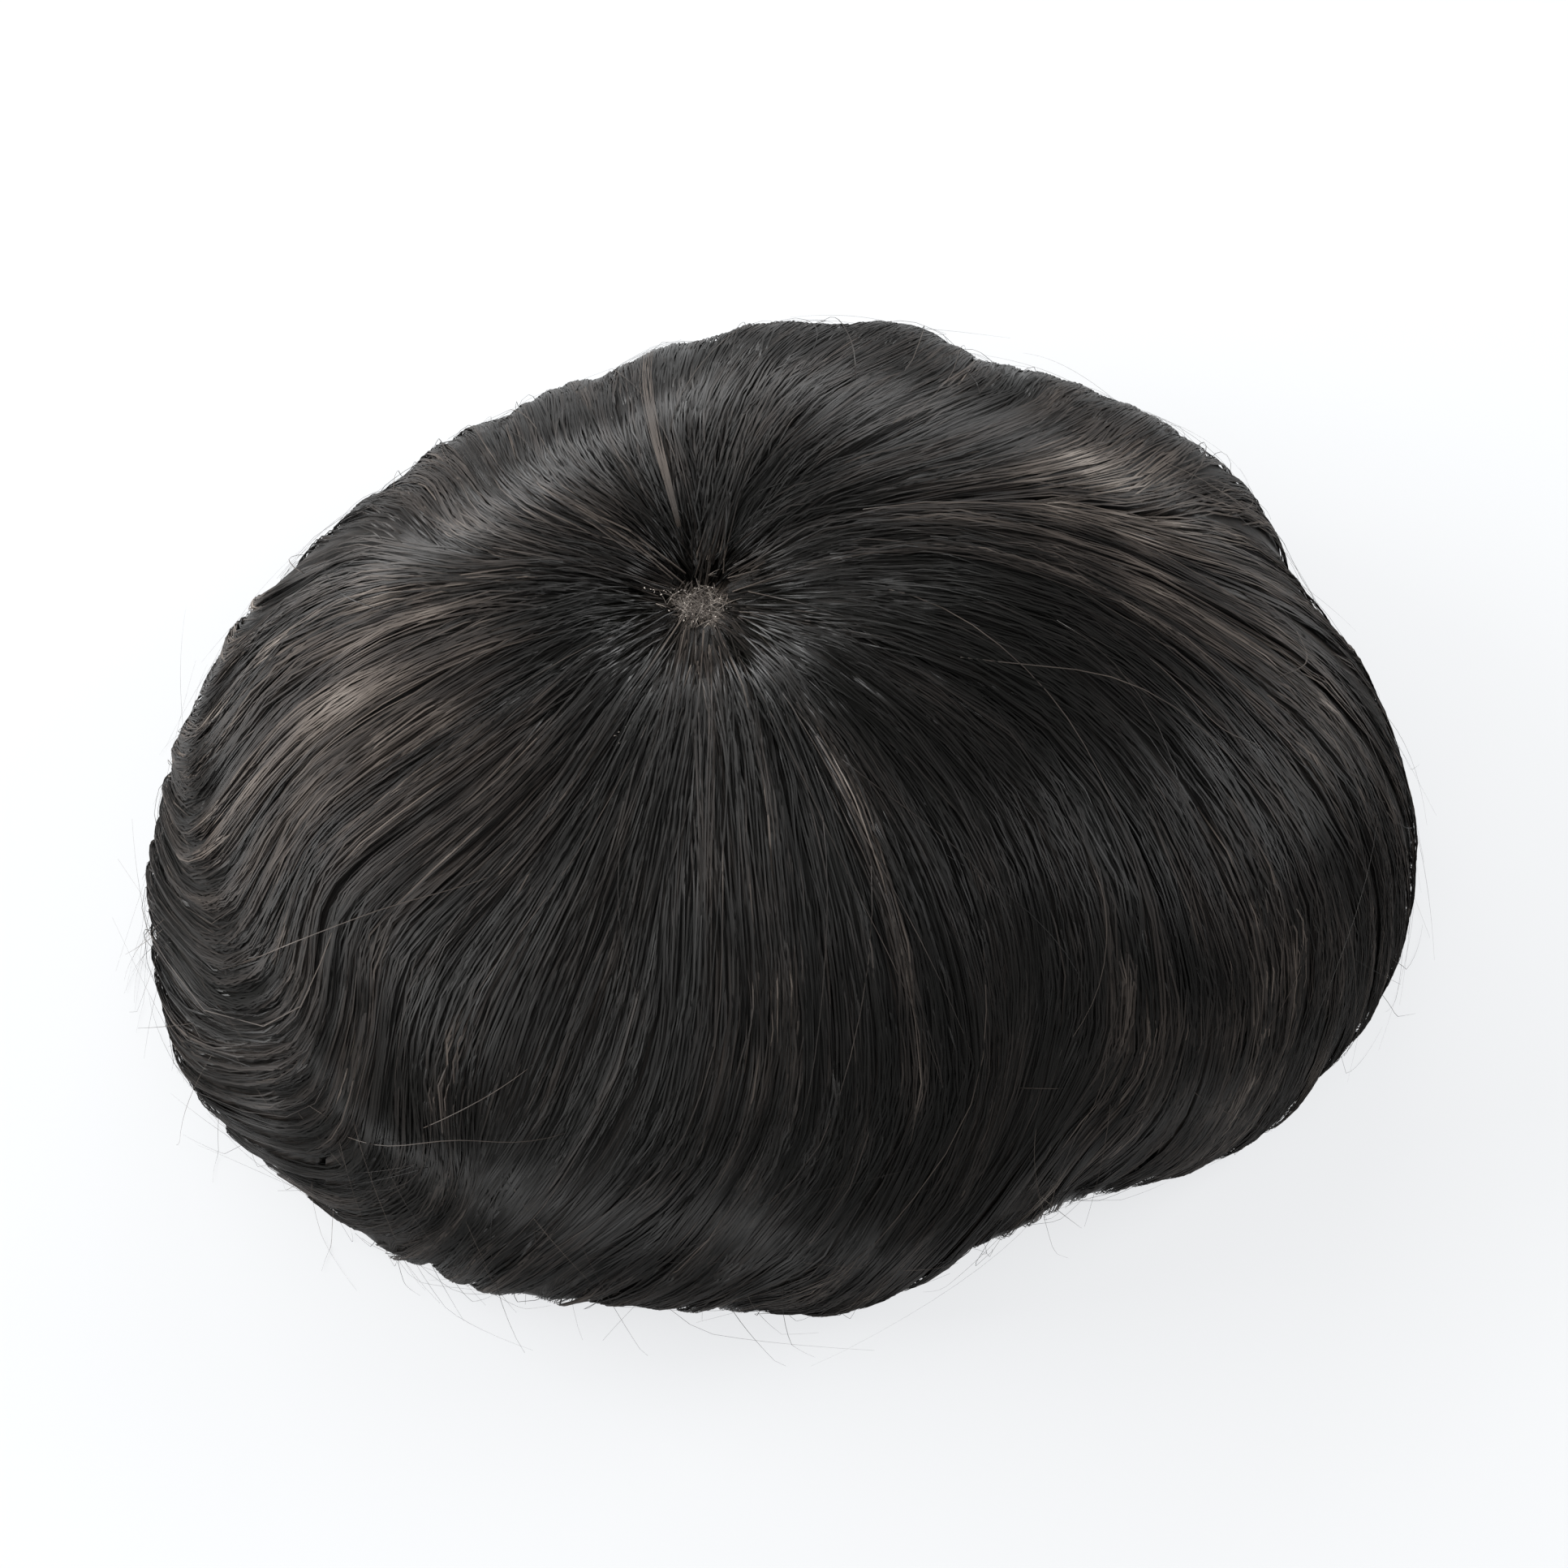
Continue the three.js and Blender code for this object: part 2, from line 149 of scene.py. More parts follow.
bpy.context.scene.view_settings.view_transform = "Standard"
bpy.ops.mesh.primitive_plane_add(size=TABLE_SIZE, location=(0, 0, 0))
floor = bpy.context.object
floor.name = "floor"
table_paint, tree, shader = new_material("matt_white_table")
paint = {"Base Color": linear("#484949"), "Roughness": 0.9, "Specular IOR Level": 0.1}
glow = {"Emission Color": linear(ROOM_COLOUR), "Emission Strength": TABLE_GLOW}
plug(tree, shader, {**paint, **glow})
floor.data.materials.append(table_paint)

world = bpy.data.worlds.new("pale_room")
world.use_nodes = True
sky = world.node_tree.nodes["Background"]
plug(world.node_tree, sky, {"Color": linear(ROOM_COLOUR), "Strength": ROOM_STRENGTH})
bpy.context.scene.world = world

LIGHTS = table(
    "name at size power",
    ("window_left", (-1.58, 0.3, 0.66), (1.3, 0.7), 122),
    ("window_back_left", (-0.95, 1.32, 0.7), (1.2, 0.6), 43),
    ("window_behind", (0.06, 1.68, 0.48), (0.8, 0.5), 38),
    ("window_right", (1.53, 0.56, 0.62), (0.8, 0.5), 50),
    ("window_front_left", (-0.7, -1.6, 0.26), (0.8, 0.3), 22),
)
for row in LIGHTS:
    light_data = bpy.data.lights.new(row["name"], "AREA")
    light_data.shape = "RECTANGLE"
    light_data.size, light_data.size_y = row["size"]
    light_data.energy = row["power"]
    light = link_object(row["name"], light_data)
    light.visible_camera = False
    light.location = row["at"]
    light.rotation_mode = "QUATERNION"
    light.rotation_quaternion = (-light.location).to_track_quat("-Z", "Y")
print("lights:", len(LIGHTS))

# %% [markdown]
# Every hair leads away from the whorl, the point that the hair turns round. Two numbers place a
# point on the hair: its bearing round the whorl, and its way, which is 0 at the whorl, 1 at the
# widest line and 1.25 where the hem meets the table. The form itself isn't typed in: rays are cast
# at the CAD solids from outside, and what they hit is kept in a grid.

# %% The hair's outer form, read from the CAD solids
cap_low, cap_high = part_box(CAP_NODE)
cap_middle = (cap_low + cap_high) / 2
WHORL_X = cap_middle.x - 17.5 * MM
WHORL_Y = cap_middle.y + 21 * MM
WHORL_HAIR = 0.8 * MM
ROLL_HEIGHT = 10 * MM
ROLL_WAY = 0.25
BEARINGS = 360
WAY_STEPS = 80
ROLL_STEPS = 20
WAYS = np.linspace(0, 1 + ROLL_WAY, WAY_STEPS + ROLL_STEPS + 1)
POLAR = np.radians(np.linspace(0, 90, 91))
ROLL_DROP = 1 - np.sin(np.linspace(0, np.pi / 2, ROLL_STEPS + 1))
RAY_LENGTH = 0.5


def hair_tree():
    """One search tree over all the hair solids."""
    points, faces = [], []
    for name in HAIR_NODES:
        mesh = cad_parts[name].data
        first = len(points)
        points += [v.co.copy() for v in mesh.vertices]
        faces += [[first + i for i in p.vertices] for p in mesh.polygons]
    return BVHTree.FromPolygons(points, faces)


def smoothed(grid, bearing_blur, way_blur):
    """The grid, averaged with its neighbours round the whorl and along the way."""
    for axis, sigma in ((0, bearing_blur), (1, way_blur)):
        if sigma == 0:
            continue
        reach = int(3 * sigma) + 1
        offsets = np.arange(-reach, reach + 1)
        weights = np.exp(-0.5 * (offsets / sigma) ** 2)
        weights /= weights.sum()
        places = np.arange(grid.shape[axis])
        ends = ("wrap", "clip")[axis]
        grid = sum(w * grid.take(places + o, axis, mode=ends) for o, w in zip(offsets, weights))
    return grid


def whorl_top():
    """The height where the cap lies bare at the whorl."""
    x = (WHORL_X - cap_middle.x) / ((cap_high.x - cap_low.x) / 2)
    y = (WHORL_Y - cap_middle.y) / ((cap_high.y - cap_low.y) / 2)
    return cap_low.z + (cap_high.z - cap_low.z) * math.sqrt(1 - x * x - y * y)


def read_reach():
    """How far the hair reaches from the whorl's axis: over the dome, and under the roll."""
    tree = hair_tree()
    centre = Vector((WHORL_X, WHORL_Y, ROLL_HEIGHT))
    over = np.full((BEARINGS, len(POLAR)), np.nan)
    under = np.zeros((BEARINGS, ROLL_STEPS + 1))
    for i in range(BEARINGS):
        turn = math.radians(i)
        flat = Vector((math.cos(turn), math.sin(turn), 0))
        for j, angle in enumerate(POLAR):
            ray = flat * math.sin(angle) + Vector((0, 0, math.cos(angle)))
            hit = tree.ray_cast(centre + ray * RAY_LENGTH, -ray, RAY_LENGTH)[0]
            if hit:
                over[i, j] = (hit - centre).length
        for j, height in enumerate(ROLL_HEIGHT * ROLL_DROP):
            origin = Vector((WHORL_X, WHORL_Y, max(height, 0.2 * MM))) + flat * RAY_LENGTH
            hit = tree.ray_cast(origin, -flat)[0]
            under[i, j] = math.hypot(hit.x - WHORL_X, hit.y - WHORL_Y)
        over[i, 0] = whorl_top() - ROLL_HEIGHT + WHORL_HAIR
        met = ~np.isnan(over[i])
        over[i] = np.interp(POLAR, POLAR[met], over[i, met])
    return smoothed(over, 3, 1.4), smoothed(under, 3, 1.0)


def read_form(over, under):
    """Radius from the whorl's axis and height, for each bearing and way."""
    radius, height = np.zeros((2, BEARINGS, len(WAYS)))
    for i in range(BEARINGS):
        out = over[i] * np.sin(POLAR)
        up = ROLL_HEIGHT + over[i] * np.cos(POLAR)
        widest = int(np.argmax(out))
        wanted = out[widest] * np.sin(WAYS[: WAY_STEPS + 1] * math.pi / 2)
        radius[i, : WAY_STEPS + 1] = wanted
        height[i, : WAY_STEPS + 1] = np.interp(wanted, out[: widest + 1], up[: widest + 1])
        drop = up[widest] * ROLL_DROP
        radius[i, WAY_STEPS:] = np.interp(-drop, -ROLL_HEIGHT * ROLL_DROP, under[i])
        radius[i, WAY_STEPS] = out[widest]
        height[i, WAY_STEPS:] = drop
    return smoothed(radius, 0.6, 1.2), smoothed(height, 0.6, 0.8)


reach_over, reach_under = read_reach()
form_radius, form_height = read_form(reach_over, reach_under)
turns = np.radians(np.arange(BEARINGS))[:, None]
form_x = WHORL_X + form_radius * np.cos(turns)
form_y = WHORL_Y + form_radius * np.sin(turns)
form = np.stack([form_x, form_y, form_height], -1)
around = (np.roll(form, -1, 0) - np.roll(form, 1, 0)) / 2
form_normal = np.cross(np.gradient(form, axis=1), around)
form_normal[:, 0] = (0, 0, 1)
form_normal = unit(form_normal)
print("form read: widest", round(float(form_radius.max() / MM), 1), "mm from the whorl")


def sample(grid, bearing, way):
    """Reads a grid between its points. Bearings go round, and ways stop at their ends."""
    b = np.mod(bearing, 360) * BEARINGS / 360
    i = np.floor(b).astype(int) % BEARINGS
    fb = b - np.floor(b)
    w = np.clip(way / (1 + ROLL_WAY), 0, 1) * (grid.shape[1] - 1)
    j = np.minimum(np.floor(w).astype(int), grid.shape[1] - 2)
    fw = w - j
    if grid.ndim == 3:
        fb, fw = fb[..., None], fw[..., None]
    k = (i + 1) % BEARINGS
    near = grid[i, j] * (1 - fw) + grid[i, j + 1] * fw
    beside = grid[k, j] * (1 - fw) + grid[k, j + 1] * fw
    return near * (1 - fb) + beside * fb


def outwards(bearing, way):
    """The direction that leaves the form at a right angle."""
    return unit(sample(form_normal, bearing, way))


# %% [markdown]
# The combing is a table, as a hairdresser would draw it: each row is one guide hair, with its
# bearing at the guide ways. The rows are read between and smoothed, so any hair can be asked where
# it lies, and the inverse tells which hair passes through a point. A section row says from which
# start to which it grows, how wide its locks are in millimetres, how far they draw together
# towards their ends, and how many millimetres their middles rise.

# %% The combing
GUIDE_WAYS = [0, 0.25, 0.5, 0.6, 0.66, 0.72, 0.78, 0.86, 0.94, 1.04]
COMBING = [
    # right, behind the middle
    [9, 6, -11, -17, -19, -22, -24, -27, -30, -34],
    [24, 12, -4, -8, -10, -14, -17, -21, -24, -27],
    [37, 20, 6, 2, 0, -2, -4, -6, -8, -12],
    [41, 21, 11, 9, 8, 6, 5, 3, 2, 0],
    # tuft
    [45, 22, 16, 19, 21, 23, 24, 25, 25, 24],
    [49, 24, 20, 24, 25, 27, 28, 29, 29, 28],
    [53, 27, 28, 31, 32, 33, 34, 35, 35, 35],
    [59, 38, 36, 39, 40, 41, 42, 43, 43, 43],
    [65, 47, 44, 45, 47, 48, 49, 50, 50, 50],
    # back
    [69, 57, 51, 52, 53, 54, 55, 56, 56, 56],
    [73, 66, 59, 58, 58, 58, 58, 58, 58, 58],
    [78, 76, 69, 67, 66, 66, 66, 66, 66, 66],
    [83, 84, 79, 77, 76, 75, 75, 75, 75, 75],
    [87, 91, 85, 83, 82, 81, 81, 81, 81, 81],
    [98, 103, 99, 98, 97, 97, 97, 96, 95, 94],
    [103, 113, 109, 108, 107, 107, 107, 106, 105, 104],
    # back left
    [109, 124, 117, 115, 114, 114, 114, 114, 113, 112],
    [118, 135, 125, 122, 121, 121, 121, 121, 120, 119],
    [127, 144, 132, 129, 127, 127, 127, 127, 126, 125],
    [136, 151, 139, 135, 133, 132, 132, 132, 132, 131],
    [155, 163, 149, 146, 145, 144, 144, 144, 143, 142],
    [166, 173, 160, 157, 156, 156, 156, 155, 154, 152],
    # left
    [175, 177, 178, 184, 189, 190, 189, 185, 181, 177],
    [186, 186, 190, 196, 199, 198, 194, 190, 187, 184],
    [195, 198, 203, 206, 207, 204, 199, 194, 190, 187],
    [203, 207, 209, 214, 215, 211, 204, 198, 194, 191],
    [212, 216, 215, 220, 220, 216, 210, 204, 200, 196],
    [221, 223, 219, 225, 226, 225, 218, 211, 206, 202],
    [230, 230, 224, 229, 230, 231, 230, 225, 218, 211],
    [237, 236, 229, 234, 235, 236, 236, 234, 228, 219],
    # front left
    [242, 242, 237, 239, 241, 243, 243, 240, 236, 229],
    [248, 247, 242, 243, 245, 247, 247, 246, 242, 236],
    [254, 252, 248, 248, 248, 249, 249, 247, 245, 242],
    [260, 258, 254, 253, 252, 250, 249, 248, 246, 244],
    [266, 264, 262, 259, 257, 255, 253, 250, 249, 247],
    # front
    [277, 273, 272, 270, 269, 266, 263, 259, 255, 252],
    [289, 281, 278, 275, 273, 270, 268, 265, 262, 258],
    [299, 291, 285, 283, 281, 278, 275, 272, 268, 264],
    [310, 302, 296, 293, 291, 287, 284, 281, 277, 272],
    [319, 311, 305, 302, 300, 296, 293, 288, 283, 277],
    # front right
    [327, 323, 312, 308, 304, 301, 297, 292, 287, 282],
    [334, 331, 319, 314, 312, 309, 306, 297, 291, 286],
    # right, before the middle
    [342, 340, 326, 320, 318, 315, 313, 310, 307, 303],
    [347, 346, 333, 328, 326, 323, 320, 317, 314, 310],
    [353, 356, 343, 338, 335, 332, 329, 324, 320, 316],
]
SECTIONS = table(
    "name from to lock draw rise",
    ("back_right_tuft", 43, 66, 9, 0.22, 0.4),
    ("back_hair", 66, 105, 9, 0.18, 0.35),
    ("back_left_hair", 105, 185, 8, 0.2, 0.4),
    ("left_side_wave", 185, 240, 6, 0.35, 1.25),
    ("front_left_sweep", 240, 297, 9, 0.22, 0.6),
    ("front_right_sweep", 297, 342, 10, 0.2, 0.45),
    ("right_side_hair", 342, 403, 10, 0.22, 0.5),
)


def curve_at(xs, ys, x):
    """A smooth curve through the points (xs, ys), read at x. ys may have a row for each x."""
    xs, ys = np.asarray(xs, float), np.asarray(ys, float)
    slopes = np.empty_like(ys)
    slopes[1:-1] = ((ys[2:] - ys[:-2]).T / (xs[2:] - xs[:-2])).T
    slopes[0] = (ys[1] - ys[0]) / (xs[1] - xs[0])
    slopes[-1] = (ys[-1] - ys[-2]) / (xs[-1] - xs[-2])
    i = np.clip(np.searchsorted(xs, x, side="right") - 1, 0, len(xs) - 2)
    step = xs[i + 1] - xs[i]
    t = np.clip((x - xs[i]) / step, 0, 1)
    if ys.ndim == 2:
        step, t = step[:, None], t[:, None]
    rest = 1 - t
    return (
        ys[i] * rest * rest * (1 + 2 * t)
        + slopes[i] * step * t * rest * rest
        + ys[i + 1] * t * t * (3 - 2 * t)
        - slopes[i + 1] * step * t * t * rest
    )


guide_table = np.array(COMBING, float)
three_turns = np.concatenate([guide_table - 360, guide_table, guide_table + 360])
comb_starts = np.arange(BEARINGS, dtype=float)
drift_at_guides = np.stack([np.interp(comb_starts, three_turns[:, 0], c) for c in three_turns.T], 1)
drift_at_guides = smoothed(drift_at_guides - comb_starts[:, None], 1.8, 0)
drift = smoothed(curve_at(GUIDE_WAYS, drift_at_guides.T, WAYS).T, 0, 2.2)


def combed(start, way):
    """The bearing of the hair that starts at one bearing, once it has gone this way."""
    return start + sample(drift, start, way)


def start_through(bearing, way):
    """Which start leads through this bearing at this way."""
    low, high = bearing - 180.0, bearing + 180.0
    for _ in range(24):
        middle = (low + high) / 2
        short = combed(middle, way) < bearing
        low, high = np.where(short, middle, low), np.where(short, high, middle)
    return low


print("guides:", len(COMBING), "sections:", len(SECTIONS))

# %% [markdown]
# A clump keeps its width in millimetres while the bearings fan out, so degrees have to be turned
# into millimetres anywhere on the form. The same grid gives the area of each small field, and roots
# are then dealt out by area, as they are knotted into the real cap at an even spacing.

# %% The lay of the hair
start_grid, way_grid = np.meshgrid(comb_starts, WAYS, indexing="ij")
lay = sample(form, combed(start_grid, way_grid), way_grid)
degree_width = np.linalg.norm(np.roll(lay, -1, 0) - np.roll(lay, 1, 0), axis=-1) / 2
field_area = degree_width * np.linalg.norm(np.gradient(lay, axis=1), axis=-1)
MIDDLE_WAY = 0.35


def root_weights(section, layer):
    """How thickly a layer's roots stand in each field of a section, and the ways of its fields."""
    starts = np.arange(section["from"], section["to"]) % BEARINGS
    columns = np.flatnonzero((WAYS >= layer["from"]) & (WAYS < layer["to"]))
    if layer["even_by"] == "area":
        return field_area[np.ix_(starts, columns)], columns
    width = degree_width[starts, int(MIDDLE_WAY * WAY_STEPS)]
    return np.repeat(width[:, None], len(columns), 1), columns


def deal_roots(section, count, layer, rng):
    """Starts and ways of this many roots."""
    weights, columns = root_weights(section, layer)
    chosen = rng.choice(weights.size, count, p=weights.ravel() / weights.sum())
    start = section["from"] + chosen // len(columns) + rng.random(count)
    way = WAYS[columns[chosen % len(columns)]] + rng.random(count) * (WAYS[1] - WAYS[0])
    return start, way


print("widest degree:", round(float(degree_width.max() / MM), 2), "mm")

# %% [markdown]
# Black human hair is a smooth horn-like thread. Its colour is a very dark brown, and light slides
# off it in a fan: narrow along the hair, wide across it. The anisotropic setting gives that fan to
# a flat strand, with a tangent that lies across it. A tone number at each point of a strand makes
# some of them browner, as sun and dye leave them, and in some fields it holds painted sheen and
# shade.

# %% Hair paints
HAIR_TONES = table(
    "tone colour",
    (0.0, "#030302"),
    (0.35, "#0a0908"),
    (0.6, "#1c1917"),
    (0.8, "#35302c"),
    (1.0, "#6e6862"),
)
HAIR_ROUGHNESS = 0.5
HAIR_SHINE = {"Anisotropic": 0.95, "IOR": 1.55, "Specular IOR Level": 0.1}
TONE_SPREAD = 0.3
ROUGHER_BY_TONE = 0.3
DARK_ROUGHNESS = HAIR_ROUGHNESS - 0.09


def tone_ramp(tree, tone):
    """The hair's colours along one ramp, read by a tone number."""
    ramp = node(tree, "ValToRGB", {"Fac": tone})
    stops = ramp.color_ramp.elements
    while len(stops) < len(HAIR_TONES):
        stops.new(0.5)
    for stop, row in zip(stops, HAIR_TONES):
        stop.position = row["tone"]
    for stop, row in zip(stops, HAIR_TONES):
        stop.color = linear(row["colour"])
    return ramp.outputs["Color"]


def hair_strand_paint():
    """Off-black human hair, seen strand by strand."""
    paint, tree, shader = new_material("off_black_human_hair")
    tone = node(tree, "Attribute", {}, attribute_name="tone")
    place = node(tree, "TexCoord", {})
    mottle = {"Vector": place.outputs["Object"], "Scale": 90.0, "Detail": 0.0}
    mottle = node(tree, "TexNoise", mottle)
    spread = {0: mottle.outputs["Fac"], 1: TONE_SPREAD, 2: -TONE_SPREAD / 2}
    spread = node(tree, "Math", spread, operation="MULTIPLY_ADD")
    both = {0: tone.outputs["Fac"], 1: spread.outputs[0]}
    both = node(tree, "Math", both, operation="ADD", use_clamp=True)
    rough = {0: both.outputs[0], 1: ROUGHER_BY_TONE, 2: DARK_ROUGHNESS}
    rough = node(tree, "Math", rough, operation="MULTIPLY_ADD")
    across = node(tree, "Tangent", {}, direction_type="UV_MAP", uv_map="OFBake")
    colour = tone_ramp(tree, both.outputs[0])
    plug(tree, shader, {"Base Color": colour, "Roughness": rough.outputs[0]})
    plug(tree, shader, {"Tangent": across.outputs[0], **HAIR_SHINE})
    return paint


strand_paint = hair_strand_paint()
print("hair tones:", len(HAIR_TONES))

# %% [markdown]
# Drawn hair by hair the piece would need millions of faces, so a strand here stands for five or six
# hairs side by side. It is a closed prism of three sides that narrows to its tip, with a flat side
# outwards. Its long edges are sharp and the rest is smooth, so it shades like a flat ribbon. All
# strands of a section are one mesh, written from arrays, since no modelling tool lays thousands of
# threads along a flow.

# %% Strands as tubes
TUBE_SIDES = 3
TUBE_FLATNESS = 0.42


def tube_faces(strands, points):
    """Corner numbers of the walls and of the two end caps of each tube."""
    rings = np.arange(strands * points).reshape(strands, points, 1) * TUBE_SIDES
    side = np.arange(TUBE_SIDES)
    near, beside = rings + side, rings + (side + 1) % TUBE_SIDES
    walls = np.stack([near[:, :-1], near[:, 1:], beside[:, 1:], beside[:, :-1]], -1)
    caps = np.stack([near[:, 0], near[:, -1, ::-1]], 1)
    return walls.reshape(-1, 4), caps.reshape(-1, TUBE_SIDES)


def tube_map(strands, points):
    """A map that gives each tube its own field of the unit square."""
    columns = math.ceil(math.sqrt(strands * 3))
    rows = math.ceil(strands / columns)
    cell = np.stack([np.arange(strands) % columns, np.arange(strands) // columns], -1)
    size = np.array([1 / columns, 1 / rows])
    side = np.arange(TUBE_SIDES)
    step = np.arange(points - 1)[:, None]
    u = np.stack([side, side, side + 1, side + 1], -1) / TUBE_SIDES * 0.8 + 0.1
    v = np.stack([step, step + 1, step + 1, step], -1) / (points - 1) * 0.8 + 0.1
    walls = np.stack(np.broadcast_arrays(u, v), -1)
    cap = np.array([[0.2, 0.0], [0.8, 0.0], [0.5, 0.08]])
    caps = np.stack([cap, cap + [0, 0.92]])
    walls = (cell[:, None, None, None] + walls) * size
    caps = (cell[:, None, None] + caps) * size
    return np.concatenate([walls.reshape(-1, 2), caps.reshape(-1, 2)])


def tube_points(paths, ups, radii):
    """Three corners round each path point, two of them outwards."""
    along = unit(np.gradient(paths, axis=1))
    across = unit(np.cross(along, ups))
    out = np.cross(across, along)
    turn = np.radians(30 + 360 / TUBE_SIDES * np.arange(TUBE_SIDES))[:, None]
    ring = np.cos(turn) * across[:, :, None] + TUBE_FLATNESS * np.sin(turn) * out[:, :, None]
    return paths[:, :, None] + radii[:, :, None, None] * ring


def strand_piece(name, batches):
    """One mesh object from batches of strands: paths, ups, radii and tones at each point."""
    corners, walls, caps, places, tones = [], [], [], [], []
    first = 0
    for path, up, radii, tone in batches:
        strands, points = path.shape[:2]
        radii, tone = (np.broadcast_to(v, (strands, points)) for v in (radii, tone))
        ring = tube_points(path, up, radii).reshape(-1, 3)
        wall, cap = tube_faces(strands, points)
        corners.append(ring)
        walls.append(wall + first)
        caps.append(cap + first)
        places.append(tube_map(strands, points))
        tones.append(np.repeat(tone.ravel(), TUBE_SIDES))
        first += len(ring)
    share = np.cumsum([0] + [len(t) for t in tones]) / first
    for k, place in enumerate(places):
        place[:, 1] = share[k] + place[:, 1] * (share[k + 1] - share[k])
    faces = [f for pair in zip(walls, caps) for part in pair for f in part.tolist()]
    mesh = bpy.data.meshes.new(name)
    mesh.from_pydata(np.concatenate(corners).tolist(), [], faces)
    mesh.shade_smooth()
    ends = np.empty(len(mesh.edges) * 2, int)
    mesh.edges.foreach_get("vertices", ends)
    long_edge = np.abs(ends[::2] - ends[1::2]) == TUBE_SIDES
    mesh.attributes.new("sharp_edge", "BOOLEAN", "EDGE").data.foreach_set("value", long_edge)
    mesh.uv_layers.new(name="OFBake").uv.foreach_set("vector", np.concatenate(places).ravel())
    mesh.attributes.new("tone", "FLOAT", "POINT").data.foreach_set("value", np.concatenate(tones))
    mesh.materials.append(strand_paint)
    piece = link_object(name, mesh)
    report(piece)
    return piece


# %% [markdown]
# Combed hair lies in clumps: some ten strands share a root place, a tone and a slow wander, and
# draw together towards their tips. Without clumps the hair looks like brushed metal, and with too
# much clumping it looks wet. The strands in the middle of a clump lie higher than those at its
# sides. The clumps of a section are drawn a little towards the middles of its locks.

# %% Locks
LOCK_WAY = 0.8


def smooth_step(x):
    """From 0 to 1 with soft ends, while x goes from 0 to 1."""
    x = np.clip(x, 0, 1)
    return x * x * (3 - 2 * x)


def lock_middles(section, rng):
    """The start bearings in the middle of each lock of a section."""
    starts = np.arange(section["from"], section["to"] + 1)
    widths = degree_width[starts % BEARINGS, int(LOCK_WAY * WAY_STEPS)]
    across = np.concatenate([[0], np.cumsum(widths[:-1])])
    locks = max(2, round(across[-1] / (section["lock"] * MM)))
    places = (np.arange(locks) + 0.5 + rng.uniform(-0.25, 0.25, locks)) * across[-1] / locks
    return np.interp(places, across, starts)


# %% Browner streaks, painted sheen and shade, and creases between locks
# Apart from the pale bundle and the brown behind and below the whorl, these fields paint light into
# the tone. The darker ones are painted shade: round the whorl, close left and right of it, and over
# the front. The paler ones are painted sheen: left of the whorl and at the left edge. At the tuft,
# below it, above the hollow and at the right the hair is browner and carries painted sheen too.
STREAKS_AND_PAINTED_LIGHT = table(
    "streak start half way reach tone",
    ("pale bundle behind the whorl", 98, 2.5, 0.25, 0.2, 0.2),
    ("darker, all round the whorl", 0, 500, 0.13, 0.07, -0.14),
    ("greyer, left of the whorl", 192, 35, 0.42, 0.2, 0.36),
    ("black, close left of it", 205, 24, 0.11, 0.07, -0.35),
    ("brown, behind the whorl", 130, 24, 0.2, 0.1, 0.2),
    ("brown, at the tuft", 45, 9, 0.48, 0.2, 0.3),
    ("brown below the whorl", 283, 8, 0.16, 0.12, 0.14),
    ("pale, at the left", 222, 9, 0.75, 0.25, 0.12),
    ("pale, over the left edge", 185, 22, 0.85, 0.25, 0.1),
    ("brown, below the tuft", 30, 14, 0.58, 0.26, 0.28),
    ("brown, above the hollow", 24, 13, 0.38, 0.13, 0.15),
    ("brown, at the right", 350, 22, 0.85, 0.22, 0.12),
    ("black, right of the whorl", 353, 17, 0.24, 0.2, -0.32),
    ("black, over the front", 285, 40, 0.75, 0.2, -0.12),
)
CREASES = table(
    "crease start half way reach deep",
    ("pocket at the left", 217, 2.5, 0.85, 0.15, 1.6),
    ("above the left wave", 233, 4, 0.6, 0.12, 0.8),
    ("lower left corner", 251, 1.5, 0.95, 0.15, 1.4),
    ("lower right notch", 338, 2, 0.95, 0.25, 2.0),
    ("right, long", 18, 1.2, 0.85, 0.25, 1.4),
    ("below the tuft", 42.5, 1.2, 0.85, 0.25, 1.2),
)
PATCH_TONE = 0.1
PATCH_LIFT = 0.3
patches = np.random.default_rng(60).normal(0, 1, lay.shape[:2])
patches = smoothed(patches, 1.3, 9)
patches /= patches.std()


def near_field(row, start, way):
    """1 in the middle of a field of the hair, and softly down to 0 past its borders."""
    off = (start - row["start"] + 180) % 360 - 180
    return np.exp(-((off / row["half"]) ** 2) - ((way - row["way"]) / row["reach"]) ** 2)


def tone_with_painted_light(start, way):
    """The tone added at a place: at root and end, in streaks, and as painted sheen and shade."""
    streaks = sum(row["tone"] * near_field(row, start, way) for row in STREAKS_AND_PAINTED_LIGHT)
    streaks = streaks + PATCH_TONE * sample(patches, start, way)
    # paler at the roots by the whorl, and paler towards the thin ends: partly their own colour,
    # partly painted sheen along the hem
    ends = 0.16 * (1 - smooth_step(way / 0.08)) + 0.12 * smooth_step((way - 0.8) / 0.3)
    return streaks + ends


def crease(start, way):
    """How many millimetres the hair sinks at a place: in the creases and the darker patches."""
    creases = sum(row["deep"] * near_field(row, start, way) for row in CREASES)
    return creases - PATCH_LIFT * np.clip(sample(patches, start, way), -2, 2)


